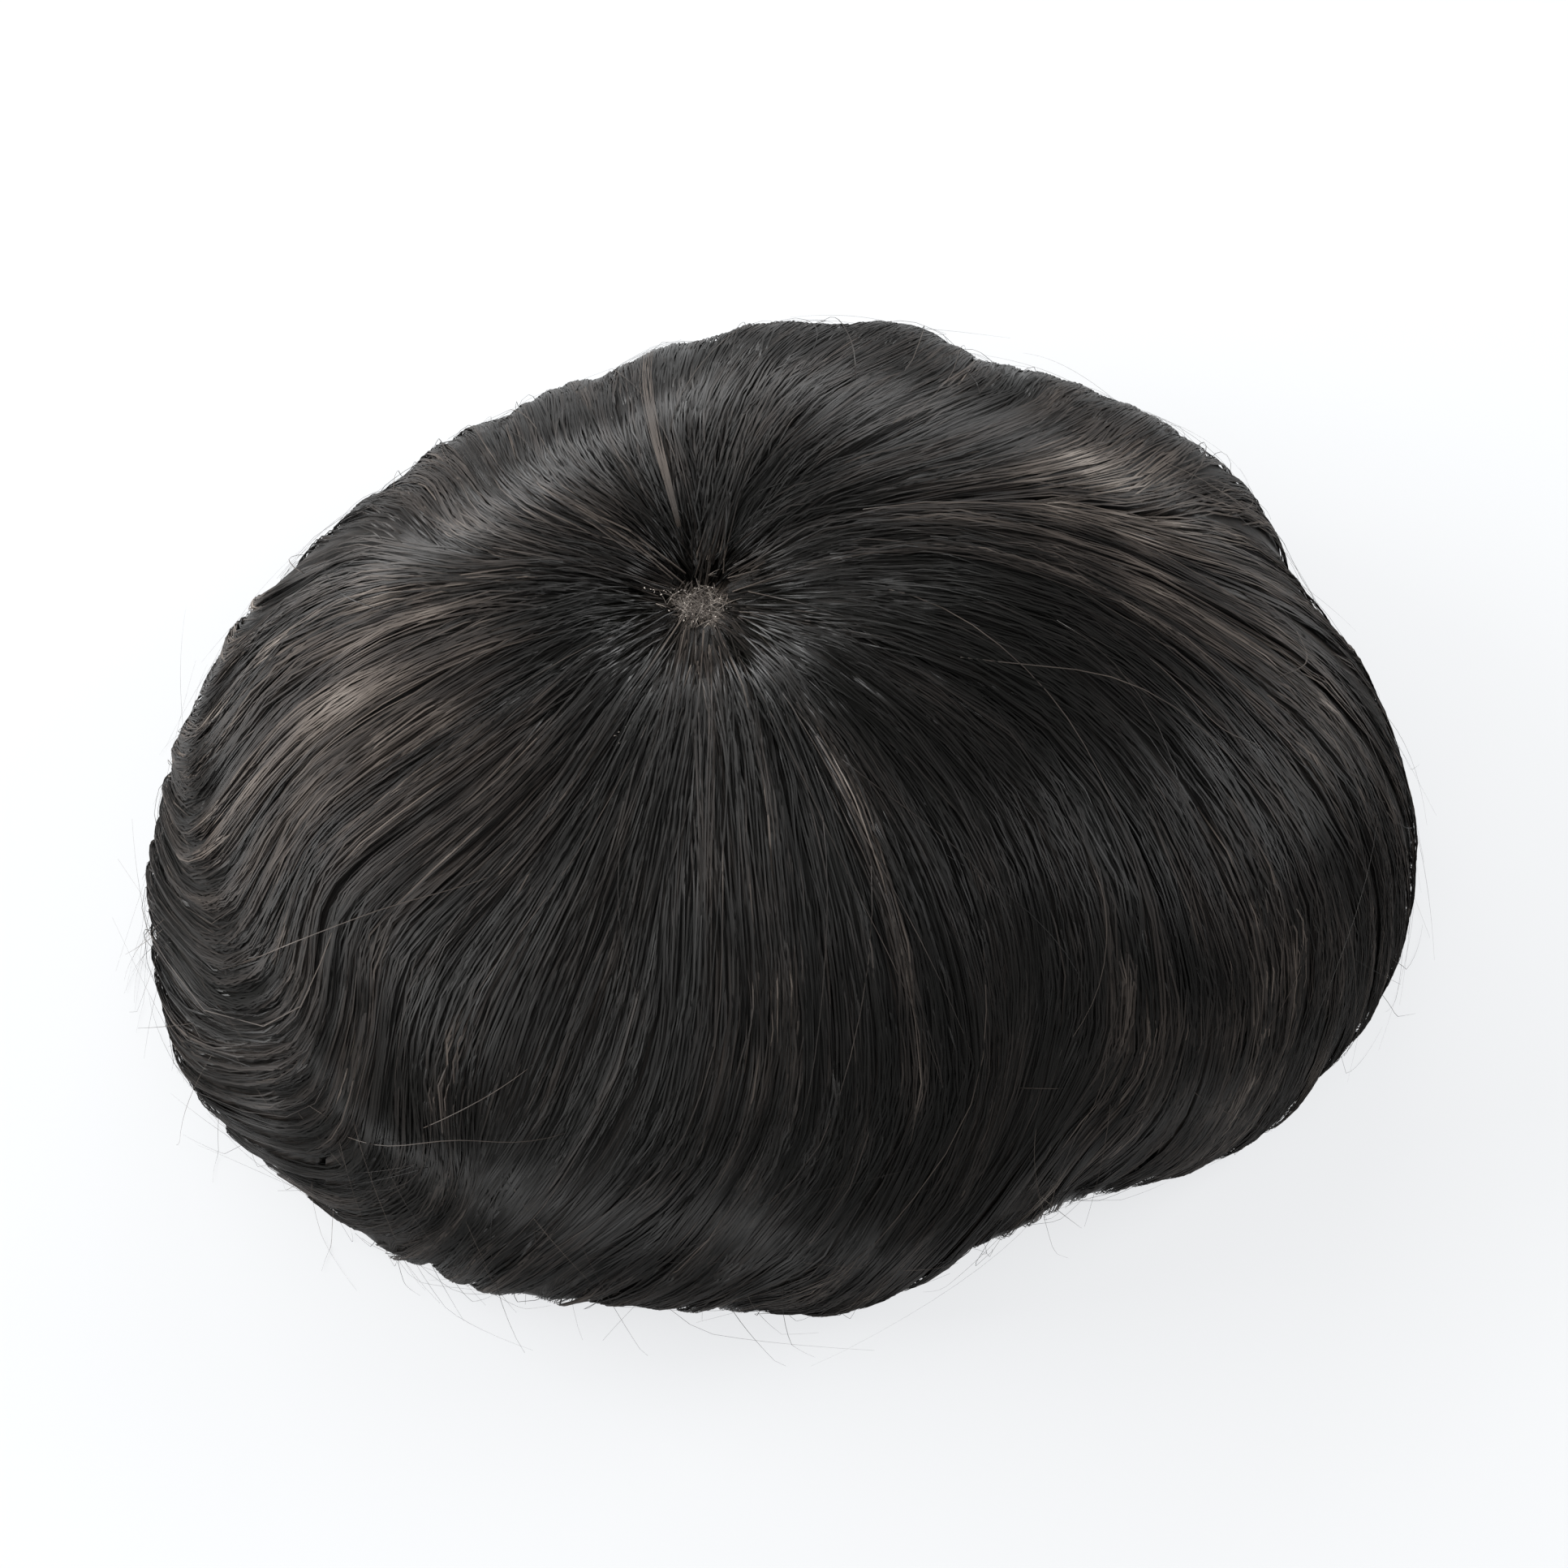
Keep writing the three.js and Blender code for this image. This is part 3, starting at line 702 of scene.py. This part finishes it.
# %% Combing the clumps
CLUMP_SIZE = 10
CLUMP_HALF_WIDTH = 1.5
CLUMP_LIFT = (-0.35, 0.4)
CLUMP_BULGE = 0.16
MEAN_LIFT = 0.35
CLUMP_TONE = (0.36, 0.1)
CLUMP_SWAY = (0.5, 1.7)
CLUMP_BEAT = (0.5, 1.3)
CLUMP_DRAW = (0, 0.6)
RIPPLE_HEIGHT = (0.15, 0.8)
RIPPLE_WAVES = (2.2, 5)
STRAND_SWAY = (0.05, 0.35)
STRAND_BEAT = (1.0, 2.4)
STRAND_TONE = 0.055
PALE_SHARE = 0.02
WAVY = "left_side_wave"
LAST_WAY = 1.235
TONES = (0.05, 0.78)


def wave(height, beat, phase, way):
    """A wave along each strand, with this many beats for each unit of way."""
    return height[:, None] * np.sin(2 * np.pi * (beat[:, None] * way + phase[:, None]))


def calm_at_outline(bearing, way):
    """How much the locks may lift: less towards the way where the outline shows."""
    outline_way = 0.85 - 0.2 * np.sin(np.radians(bearing))
    return 1 - 0.75 * smooth_step((way - outline_way) / 0.3 + 1)


def comb_clumps(section, strands, layer, rng):
    """A batch of strands of one layer of a section."""
    points = int(layer["points"] * (1.5 if section["name"] == WAVY else 1))
    clumps = max(1, strands // CLUMP_SIZE)
    clump_start, clump_way = deal_roots(section, clumps, layer, rng)
    clump_lift = rng.uniform(*CLUMP_LIFT, clumps)
    clump_tone = rng.normal(*CLUMP_TONE, clumps)
    clump_sway = rng.uniform(*CLUMP_SWAY, clumps) * rng.choice([-1, 1], clumps)
    clump_beat = rng.uniform(*CLUMP_BEAT, clumps)
    clump_phase = rng.uniform(0, 1, clumps)
    clump_draw = rng.uniform(*CLUMP_DRAW, clumps)
    clump_ripple = rng.uniform(*RIPPLE_HEIGHT, clumps)
    clump_waves = rng.uniform(*RIPPLE_WAVES, clumps)
    clump_end = rng.uniform(*layer["end"], clumps)

    # what each strand has of its own
    of = np.arange(strands) % clumps
    aside = np.clip(rng.normal(0, 1, strands), -2.2, 2.2)
    root_way = np.clip(clump_way[of] + rng.normal(0, 0.02, strands), 0.006, 1)
    end_way = np.minimum(clump_end[of] + rng.normal(0, 0.05, strands), LAST_WAY)
    end_way = np.maximum(end_way, root_way + 0.15)
    own_lift = rng.normal(0, 0.1, strands)
    own_sway = rng.uniform(*STRAND_SWAY, strands)
    own_beat = rng.uniform(*STRAND_BEAT, strands)
    own_phase = rng.uniform(0, 1, strands)

    # sideways: the clump's width and wander, then a pull towards the middle of the lock
    t = np.linspace(0, 1, points)[None]
    way = root_way[:, None] + (end_way - root_way)[:, None] * t * (1.35 - 0.35 * t)
    sway = wave(clump_sway[of], clump_beat[of], clump_phase[of], way)
    own = wave(own_sway, own_beat, own_phase, way)
    draw = 1 - clump_draw[of, None] * smooth_step((t - 0.25) / 0.75)
    offset = aside[:, None] * CLUMP_HALF_WIDTH * draw + sway + own
    centre = clump_start[of, None]
    width = np.maximum(sample(degree_width, centre, way), 0.35 * MM)
    start = centre + offset * MM / width
    middles = lock_middles(section, np.random.default_rng(len(section["name"])))
    near = middles[np.abs(start[:, -1:] - middles).argmin(1)][:, None]
    grip = smooth_step((way - 0.3) / 0.6)
    beside = np.clip(np.abs(start - near) * width / MM / (section["lock"] / 2), 0, 1.5)
    start = start + (near - start) * section["draw"] * grip

    # upwards: the lift over the form, less the depth of the layer and the creases
    bearing = combed(start, way)
    place = sample(form, bearing, way)
    up = outwards(bearing, way)
    beyond = unit(np.cross(up, np.gradient(place, axis=1)))
    lean = up + beyond * rng.normal(0, 0.14, (strands, 1, 1))
    lift = clump_lift[of] + own_lift + MEAN_LIFT - CLUMP_BULGE * aside**2
    calm = calm_at_outline(bearing, way)
    rise = smooth_step((way - root_way[:, None]) / 0.05)
    crest = section["rise"] * (0.5 - beside) * grip
    ripple = wave(clump_ripple[of], clump_waves[of], clump_phase[of], way)
    sunk = layer["depth"] * (1 - rise) + layer["tip"] * smooth_step((t - 0.8) / 0.2)
    height = (((lift[:, None] + ripple) * calm + crest) * rise - sunk - crease(start, way)) * MM
    stray_root = rng.normal(0, layer["scatter"], (strands, 1, 3)) * (1, 1, 0) * MM
    stray_root = stray_root - up[:, :1] * (stray_root * up[:, :1]).sum(-1, keepdims=True)
    path = place + up * height[..., None] + stray_root * (1 - smooth_step(t / 0.25))[..., None]
    radius = layer["width"] * MM / 2 * rng.uniform(0.75, 1.2, strands)
    radii = radius[:, None] * (1 - 0.75 * smooth_step((t - 0.55) / 0.45))
    path[..., 2] = np.maximum(path[..., 2], radii + 0.1 * MM)
    tone = clump_tone[of] + rng.normal(0, STRAND_TONE, strands)
    tone[rng.random(strands) < PALE_SHARE] += 0.2
    # the sides of each lock are painted darker: painted shade between the locks
    tone = tone[:, None] + tone_with_painted_light(start, way) - 0.12 * section["rise"] * beside * grip
    return path, lean, radii, np.clip(tone, *TONES)


LAYERS = table(
    "layer strands width points depth from to even_by scatter end tip",
    ("hem", 2900, 0.42, 9, 1.6, 0.5, 0.97, "area", 1.0, (1.04, 1.2), 0),
    ("dome", 3600, 0.38, 12, 1.6, 0.14, 0.6, "area", 1.0, (1.02, 1.2), 0),
    ("crown", 3250, 0.34, 12, 0.7, 0.05, 0.26, "way", 1.2, (0.72, 1.05), 1.2),
    ("whorl", 700, 0.28, 12, 0.3, 0.018, 0.08, "way", 1.6, (0.5, 0.9), 1.2),
)


def layer_count(section, layer):
    """How many of a layer's strands grow in a section."""
    every = sum(root_weights(row, layer)[0].sum() for row in SECTIONS)
    return int(layer["strands"] * root_weights(section, layer)[0].sum() / every)


for seed, row in enumerate(SECTIONS):
    rng = np.random.default_rng(seed)
    batches = [comb_clumps(row, layer_count(row, layer), layer, rng) for layer in LAYERS]
    piece = strand_piece(row["name"] + "_strands", batches)
    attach(piece, "root")

# %% [markdown]
# Under the strands lies the body of the hair. Each CAD section is copied, its loose triangles are
# merged, and a voxel remesh and a smoothing pass round off the faceted locks. Where its outside
# would stand out between the strands it is tucked under them, and its other sides stay as they are.

# %% The body of the hair
VOXEL = 2.3 * MM
TUCK = 0.9 * MM
BODY_TONE = 0.8


def body_flow(mesh):
    """A body's points from the whorl's axis, with bearing, reach, start and way of each."""
    points = np.empty(len(mesh.vertices) * 3)
    mesh.vertices.foreach_get("co", points)
    points = points.reshape(-1, 3) - [WHORL_X, WHORL_Y, ROLL_HEIGHT]
    bearing = np.degrees(np.arctan2(points[:, 1], points[:, 0]))
    flat = np.hypot(points[:, 0], points[:, 1])
    share = flat / sample(form_radius, bearing, 1.0)
    way = np.arcsin(np.clip(share, 0, 1)) / (math.pi / 2)
    way = np.where(points[:, 2] < 0, 1 - points[:, 2] / ROLL_HEIGHT * ROLL_WAY, way)
    return points, bearing, flat, start_through(bearing, way), way


def tuck_under(mesh):
    """Draws a body's points in towards the whorl's axis until they lie under the strands."""
    points, bearing, flat, start, way = body_flow(mesh)
    over = points[:, 2] > 0
    slope = np.arctan2(flat, points[:, 2])
    sunk = np.arcsin(np.clip(-points[:, 2] / ROLL_HEIGHT, 0, 1))
    turn = np.where(over, slope, sunk) / (math.pi / 2) * (1 + ROLL_WAY)
    reach = np.where(over, np.linalg.norm(points, axis=1), flat)
    most = np.where(over, sample(reach_over, bearing, turn), sample(reach_under, bearing, turn))
    share = np.minimum((most - TUCK - crease(start, way) * MM) / reach, 1)
    points[:, :2] *= share[:, None]
    points[over, 2] *= share[over]
    points += [WHORL_X, WHORL_Y, ROLL_HEIGHT]
    mesh.vertices.foreach_set("co", points.ravel())


def edit_all():
    """Starts to edit the active object, with all of it selected."""
    bpy.ops.object.mode_set(mode="EDIT")
    bpy.ops.mesh.select_all(action="SELECT")


def modify(piece, kind, **settings):
    """Adds a modifier of this kind to the active object, and applies it."""
    modifier = piece.modifiers.new(kind, kind)
    for key, value in settings.items():
        setattr(modifier, key, value)
    bpy.ops.object.modifier_apply(modifier=modifier.name)


def hair_body(section):
    """A rounded copy of one section's solid."""
    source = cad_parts[section["name"]]
    bpy.ops.object.select_all(action="DESELECT")
    piece = link_object(section["name"] + "_body", source.data.copy())
    bpy.context.view_layer.objects.active = piece
    piece.select_set(True)
    edit_all()
    bpy.ops.mesh.remove_doubles(threshold=0.01 * MM)
    bpy.ops.object.mode_set(mode="OBJECT")
    modify(piece, "REMESH", mode="VOXEL", voxel_size=VOXEL)
    modify(piece, "SMOOTH", factor=0.5, iterations=5)
    tuck_under(piece.data)
    bpy.ops.object.shade_smooth()
    piece.data.materials.clear()
    return piece


def hair_body_paint():
    """The same hair in the mass, with streaks and a shine across them."""
    paint, tree, shader = new_material("off_black_human_hair_in_the_mass")
    flow = node(tree, "UVMap", {}, uv_map="flow")
    stretch = {"Vector": flow.outputs["UV"], "Scale": (900, 14, 1)}
    stretch = node(tree, "Mapping", stretch)
    streak = {"Vector": stretch.outputs[0], "Scale": 1.0, "Detail": 3.0}
    streak = node(tree, "TexNoise", streak)
    tone = {0: streak.outputs["Fac"], 1: BODY_TONE}
    tone = node(tree, "Math", tone, operation="MULTIPLY")
    bump = {"Height": streak.outputs["Fac"], "Strength": 0.7, "Distance": 0.6 * MM}
    bump = node(tree, "Bump", bump)
    across = node(tree, "Tangent", {}, direction_type="UV_MAP", uv_map="flow")
    colour = tone_ramp(tree, tone.outputs[0])
    plug(tree, shader, {"Base Color": colour, "Roughness": HAIR_ROUGHNESS})
    plug(tree, shader, {"Normal": bump.outputs[0], "Tangent": across.outputs[0], **HAIR_SHINE})
    return paint


body_paint = hair_body_paint()


def map_along_flow(mesh, section):
    """Gives a body the map "flow": across is the start bearing, and up is the way."""
    *_, start, way = body_flow(mesh)
    middle = (section["from"] + section["to"]) / 2
    start = middle + (start - middle + 180) % 360 - 180
    corner = np.empty(len(mesh.loops), int)
    mesh.loops.foreach_get("vertex_index", corner)
    place = np.stack([start / 360, way], -1)[corner]
    mesh.uv_layers.new(name="flow").uv.foreach_set("vector", place.ravel())


for row in SECTIONS:
    piece = hair_body(row)
    map_along_flow(piece.data, row)
    piece.data.materials.append(body_paint)
    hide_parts(row["name"])
    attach(piece, "root")
    report(piece)

# %% [markdown]
# The cap is a fine lace dome, about a millimetre thick with its skin. It shows only at the whorl,
# as a pale spot of net with the knots of the first hairs on it, and inside the hollow. A sphere is
# stretched over the head's size, cut at the rim and thickened inwards.

# %% The lace cap
CAP_WALL = 1.2 * MM
LACE_MESH = 0.9 * MM
BARE_REACH = 4.5 * MM
COVERED_REACH = 8 * MM


def lace_cap():
    """The dome of lace, in the place of the CAD cap."""
    half = (cap_high - cap_low) / 2
    bpy.ops.mesh.primitive_uv_sphere_add(segments=96, ring_count=48, radius=1)
    piece = bpy.context.object
    piece.name = "lace_cap"
    edit_all()
    stretch = (half.x, half.y, 2 * half.z)
    bpy.ops.transform.resize(value=stretch, center_override=(0, 0, 0))
    bpy.ops.mesh.bisect(plane_co=(0, 0, 0.01 * MM), plane_no=(0, 0, 1), clear_inner=True)
    bpy.ops.mesh.select_all(action="SELECT")
    bpy.ops.transform.translate(value=(cap_middle.x, cap_middle.y, cap_low.z))
    bpy.ops.object.mode_set(mode="OBJECT")
    modify(piece, "SOLIDIFY", thickness=CAP_WALL, offset=-1)
    bpy.ops.object.shade_smooth_by_angle(angle=math.radians(40))
    return piece


def lace_paint():
    """Beige lace under a clear skin. Past the whorl the dark knots of the hair cover it."""
    paint, tree, shader = new_material("beige_lace_and_skin")
    place = node(tree, "TexCoord", {})
    from_whorl = {0: place.outputs["Object"], 1: (WHORL_X, WHORL_Y, whorl_top())}
    from_whorl = node(tree, "VectorMath", from_whorl, operation="DISTANCE")
    cover = {"From Min": BARE_REACH, "From Max": COVERED_REACH}
    cover = node(tree, "MapRange", {"Value": from_whorl.outputs["Value"], **cover})
    net = {"Vector": place.outputs["Object"], "Scale": 1 / LACE_MESH}
    net = node(tree, "TexVoronoi", net, feature="DISTANCE_TO_EDGE")
    thread = {"Value": net.outputs["Distance"], "From Min": 0.05, "From Max": 0.2}
    thread = node(tree, "MapRange", thread)
    beige = {"Factor": thread.outputs[0], 6: linear("#6b6056"), 7: linear("#3d362f")}
    beige = node(tree, "Mix", beige, data_type="RGBA")
    covered = {"Factor": cover.outputs[0], 6: beige.outputs[2], 7: linear("#17120f")}
    covered = node(tree, "Mix", covered, data_type="RGBA")
    bump = {"Height": net.outputs["Distance"], "Strength": 0.5, "Distance": 0.2 * MM}
    bump = node(tree, "Bump", bump, invert=True)
    plug(tree, shader, {"Base Color": covered.outputs[2], "Roughness": 0.6})
    plug(tree, shader, {"Normal": bump.outputs[0]})
    return paint


cap = lace_cap()
cap.data.materials.append(lace_paint())
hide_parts(CAP_NODE)
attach(cap, "root")
report(cap)

# %% [markdown]
# At the whorl the parting lets the knots be seen: each is a tiny pale loop of hair round a thread
# of the net. One knot is a squashed ball of few faces. It is modelled once, and the copies are
# turned and placed by a seeded list. A few short ends stand round each, pointing every way.

# %% Knots at the whorl
KNOT_RADIUS = 0.2 * MM
KNOT_SQUASH = (1.3, 0.8, 0.7)
KNOT_SCALE = (0.5, 1.1)
KNOT_SPOTS = table(
    "spot bearing way spread knots",
    ("the whorl", 270, 0.004, (2.5, 1.7), 140),
    # two small spots, left of the whorl and below it, hold a few of the same pale knots
    ("left of it", 180, 0.05, (0.9, 0.4), 7),
    ("a parting below it", 245, 0.18, (0.7, 2.0), 14),
)


def way_of(x, y):
    """The bearing and way of a place, seen from above."""
    bearing = math.degrees(math.atan2(y - WHORL_Y, x - WHORL_X))
    share = math.hypot(x - WHORL_X, y - WHORL_Y) / sample(form_radius, bearing, 1.0)
    return bearing, math.asin(min(1, share)) / (math.pi / 2)


def knot_places(rng, spots):
    """Where the knots lie, between the hairs of the top layer."""
    places = []
    for row in spots:
        middle = sample(form, row["bearing"], row["way"])
        for x, y in middle[:2] + rng.normal(0, 1, (row["knots"], 2)) * row["spread"] * MM:
            height = sample(form, *way_of(x, y))[2]
            places.append((x, y, height + rng.uniform(-0.4, 0.5) * MM))
    return places


def whorl_knots():
    """All the knots, as one piece."""
    rng = np.random.default_rng(40)
    bpy.ops.mesh.primitive_ico_sphere_add(subdivisions=1, radius=KNOT_RADIUS)
    first = bpy.context.object
    edit_all()
    bpy.ops.transform.resize(value=KNOT_SQUASH)
    bpy.ops.object.mode_set(mode="OBJECT")
    bpy.ops.object.shade_smooth()
    places = knot_places(rng, KNOT_SPOTS)
    copies = [first] + [link_object("knot", first.data.copy()) for _ in places[1:]]
    for copy, place in zip(copies, places):
        copy.location = place
        copy.rotation_euler = (0, 0, rng.uniform(0, math.pi))
        copy.scale = [rng.uniform(*KNOT_SCALE)] * 3
        copy.select_set(True)
    bpy.context.view_layer.objects.active = first
    bpy.ops.object.join()
    bpy.ops.object.transform_apply(location=True, rotation=True, scale=True)
    first.name = "whorl_knots"
    return first


def knot_paint():
    """Bleached knots: hair that was lightened where it is tied."""
    paint, tree, shader = new_material("bleached_hair_knots")
    place = node(tree, "TexCoord", {})
    grain = {"Vector": place.outputs["Object"], "Scale": 1 / (1.5 * MM)}
    grain = node(tree, "TexNoise", grain)
    colour = {"Factor": grain.outputs["Fac"], 6: linear("#48423d"), 7: linear("#857d75")}
    colour = node(tree, "Mix", colour, data_type="RGBA")
    plug(tree, shader, {"Base Color": colour.outputs[2], "Roughness": 0.4})
    return paint


knots = whorl_knots()
knots.data.materials.append(knot_paint())
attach(knots, "root")
report(knots)


# %% Short ends at the knots
SHORT_END_LENGTH = (1.2, 3.8)
SHORT_END_RADIUS = (0.045, 0.08)


def short_ends(rng):
    """The ends of hair left behind each knot, which point every way."""
    root = np.repeat(np.array(knot_places(rng, KNOT_SPOTS[:1])), 3, 0)
    count = len(root)
    t = np.linspace(0, 1, 4)[None, :, None]
    turn = rng.uniform(0, 2 * np.pi, count)
    ahead = np.stack([np.cos(turn), np.sin(turn), rng.uniform(0.1, 0.7, count)], -1)[:, None]
    length = rng.uniform(*SHORT_END_LENGTH, count)[:, None, None] * MM
    path = root[:, None] + length * (ahead * t - (0, 0, 0.4) * t * t)
    radii = rng.uniform(*SHORT_END_RADIUS, (count, 1)) * MM * (1 - 0.5 * t[..., 0])
    return path, (0, 0, 1), radii, rng.uniform(0.68, 0.94, (count, 1))


piece = strand_piece("whorl_short_ends", [short_ends(np.random.default_rng(41))])
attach(piece, "root")

# %% [markdown]
# No combing catches every hair. Some cross the lay at a slant and stand a millimetre or two over
# it, and round the edge thin ends leave the outline in shallow arcs and sink to the table. They are
# few and thin, but they are what makes the outline read as hair.

# %% Hairs across the lay
CROSSING_HAIRS = 120
CROSSING_RADIUS = (0.06, 0.12)


def crossing_hairs(count, rng):
    """Strands that wander off their start while they go out."""
    t = np.linspace(0, 1, 12)[None]
    start = rng.uniform(0, 360, count)[:, None]
    root_way = rng.uniform(0.05, 0.75, count)[:, None]
    way = root_way + rng.uniform(0.25, 0.7, count)[:, None] * t
    way = np.minimum(way, 1.2)
    slant = (rng.choice([-1, 1], count) * rng.uniform(3, 16, count))[:, None]
    start = start + slant * (t + rng.uniform(-0.8, 0.8, count)[:, None] * t * (1 - t) * 2)
    bearing = combed(start, way)
    up = outwards(bearing, way)
    lift = 0.4 + rng.uniform(0.2, 1.4, count)[:, None] * np.sin(np.pi * t) ** 0.8
    path = sample(form, bearing, way) + up * lift[..., None] * MM
    path[..., 2] = np.maximum(path[..., 2], 0.3 * MM)
    radius = rng.uniform(*CROSSING_RADIUS, count)[:, None] * MM
    radii = radius * (1 - 0.6 * smooth_step((t - 0.6) / 0.4))
    return path, up, radii, rng.uniform(0.25, 0.75, (count, 1))


# %% The stray hairs that can be told apart
STRAYS = table(
    "stray bearings ways hairs",
    ("pale bundle", [106, 104, 100], [0.12, 0.34, 0.64], 14),
    ("pale, over the left wave", [218, 226, 238], [0.66, 0.49, 0.36], 1),
    ("pale, lower left", [236, 246, 257], [0.77, 0.685, 0.63], 1),
    ("pale, short", [243, 248, 252], [0.685, 0.61, 0.545], 1),
    ("bent, at the right", [324, 320, 310], [0.44, 0.505, 0.65], 1),
    ("off the tuft, long", [22, 14, 8], [0.6, 0.74, 0.82], 1),
    ("off the tuft, short", [19, 15, 14], [0.66, 0.76, 0.84], 1),
    ("on the tuft, bent", [18, 16, 22], [0.59, 0.7, 0.85], 1),
    ("on the tuft, across", [20, 18, 18], [0.68, 0.75, 0.86], 1),
    ("hook at the right", [1, -3, -6], [0.65, 0.63, 0.57], 1),
    ("right of the middle", [352, 346, 346], [0.41, 0.48, 0.55], 1),
)
STRAY_RADIUS = 0.085 * MM
STRAY_TONE = 0.76


def stray_hairs(rng):
    """Single pale hairs that lie over the lay, each through three places, and a loose bundle."""
    t = np.linspace(0, 2, 14)
    rows = [row for row in STRAYS for _ in range(row["hairs"])]
    apart = np.array([0.8 * (row["hairs"] > 1) for row in rows])[:, None]
    bearing = np.stack([curve_at([0, 1, 2], row["bearings"], t) for row in rows])
    shift = rng.normal(0, 1, apart.shape)
    bearing = bearing + apart * (shift + 0.7 * np.sin(2 * t + rng.uniform(0, 6, apart.shape)))
    way = np.stack([curve_at([0, 1, 2], row["ways"], t) for row in rows])
    up = outwards(bearing, way)
    lift = 0.5 + 1.3 * np.sin(np.pi * t / 2)[None] * (1 - 0.5 * (apart > 0))
    path = sample(form, bearing, way) + up * lift[..., None] * MM
    radii = STRAY_RADIUS * (1 - 0.5 * smooth_step(t - 1))
    return path, up, radii, STRAY_TONE - 0.06 * apart


# %% Hairs that leave the outline
FLYAWAY_HAIRS = 400
FLYAWAY_LENGTH = (12, 48)
FLYAWAY_RADIUS = (0.035, 0.065)
MOST_OUT = 8 * MM
LOOSEST = (195, 265)


def flyaway_hairs(count, rng):
    """Thin ends in shallow arcs round the hem, down to the table."""
    t = np.linspace(0, 1, 11)[None, :, None]
    bearing = rng.uniform(0, 360, count)
    bearing[::6] = rng.uniform(*LOOSEST, len(bearing[::6]))
    way = rng.uniform(0.7, 1.12, count)
    root = sample(form, bearing, way)
    up = outwards(bearing, way)
    start = start_through(bearing, way)
    ahead = unit(sample(form, combed(start, way + 0.06), way + 0.06) - root)
    aside = np.cross(up, ahead)
    length = (rng.uniform(*FLYAWAY_LENGTH, count) * MM)[:, None, None]
    slant = rng.choice([-1, 1], (count, 1, 1)) * rng.uniform(0.2, 2.4, (count, 1, 1))
    level = (ahead[:, None] + aside[:, None] * slant) / np.sqrt(1 + slant**2)
    first = level + up[:, None] * rng.uniform(0.02, 0.25, (count, 1, 1))
    bend = aside[:, None] * rng.normal(0, 0.45, (count, 1, 1))
    bend = bend - up[:, None] * rng.uniform(0, 0.4, (count, 1, 1))
    path = root[:, None] + length * (first * t + bend * t * t)
    path[..., 2] -= (length * 0.25 * t * t)[..., 0]
    out = path[..., :2] - [WHORL_X, WHORL_Y]
    reach = np.linalg.norm(out, axis=-1)
    turn = np.degrees(np.arctan2(out[..., 1], out[..., 0]))
    past = np.maximum((reach - sample(form_radius, turn, 1.0)).max(1), 1e-9)
    shrink = np.minimum(1, MOST_OUT / past)[:, None, None]
    path = root[:, None] + (path - root[:, None]) * shrink
    radius = rng.uniform(*FLYAWAY_RADIUS, count)[:, None] * MM
    radii = radius * (1 - 0.6 * smooth_step((t[..., 0] - 0.4) / 0.6))
    path[..., 2] = np.maximum(path[..., 2], 0.2 * MM)
    return path, up[:, None], radii, rng.uniform(0.3, 0.8, (count, 1))


rng = np.random.default_rng(50)
for name, batches in (
    ("crossing_hairs", [crossing_hairs(CROSSING_HAIRS, rng), stray_hairs(rng)]),
    ("flyaway_hairs", [flyaway_hairs(FLYAWAY_HAIRS, rng)]),
):
    piece = strand_piece(name, batches)
    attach(piece, "root")
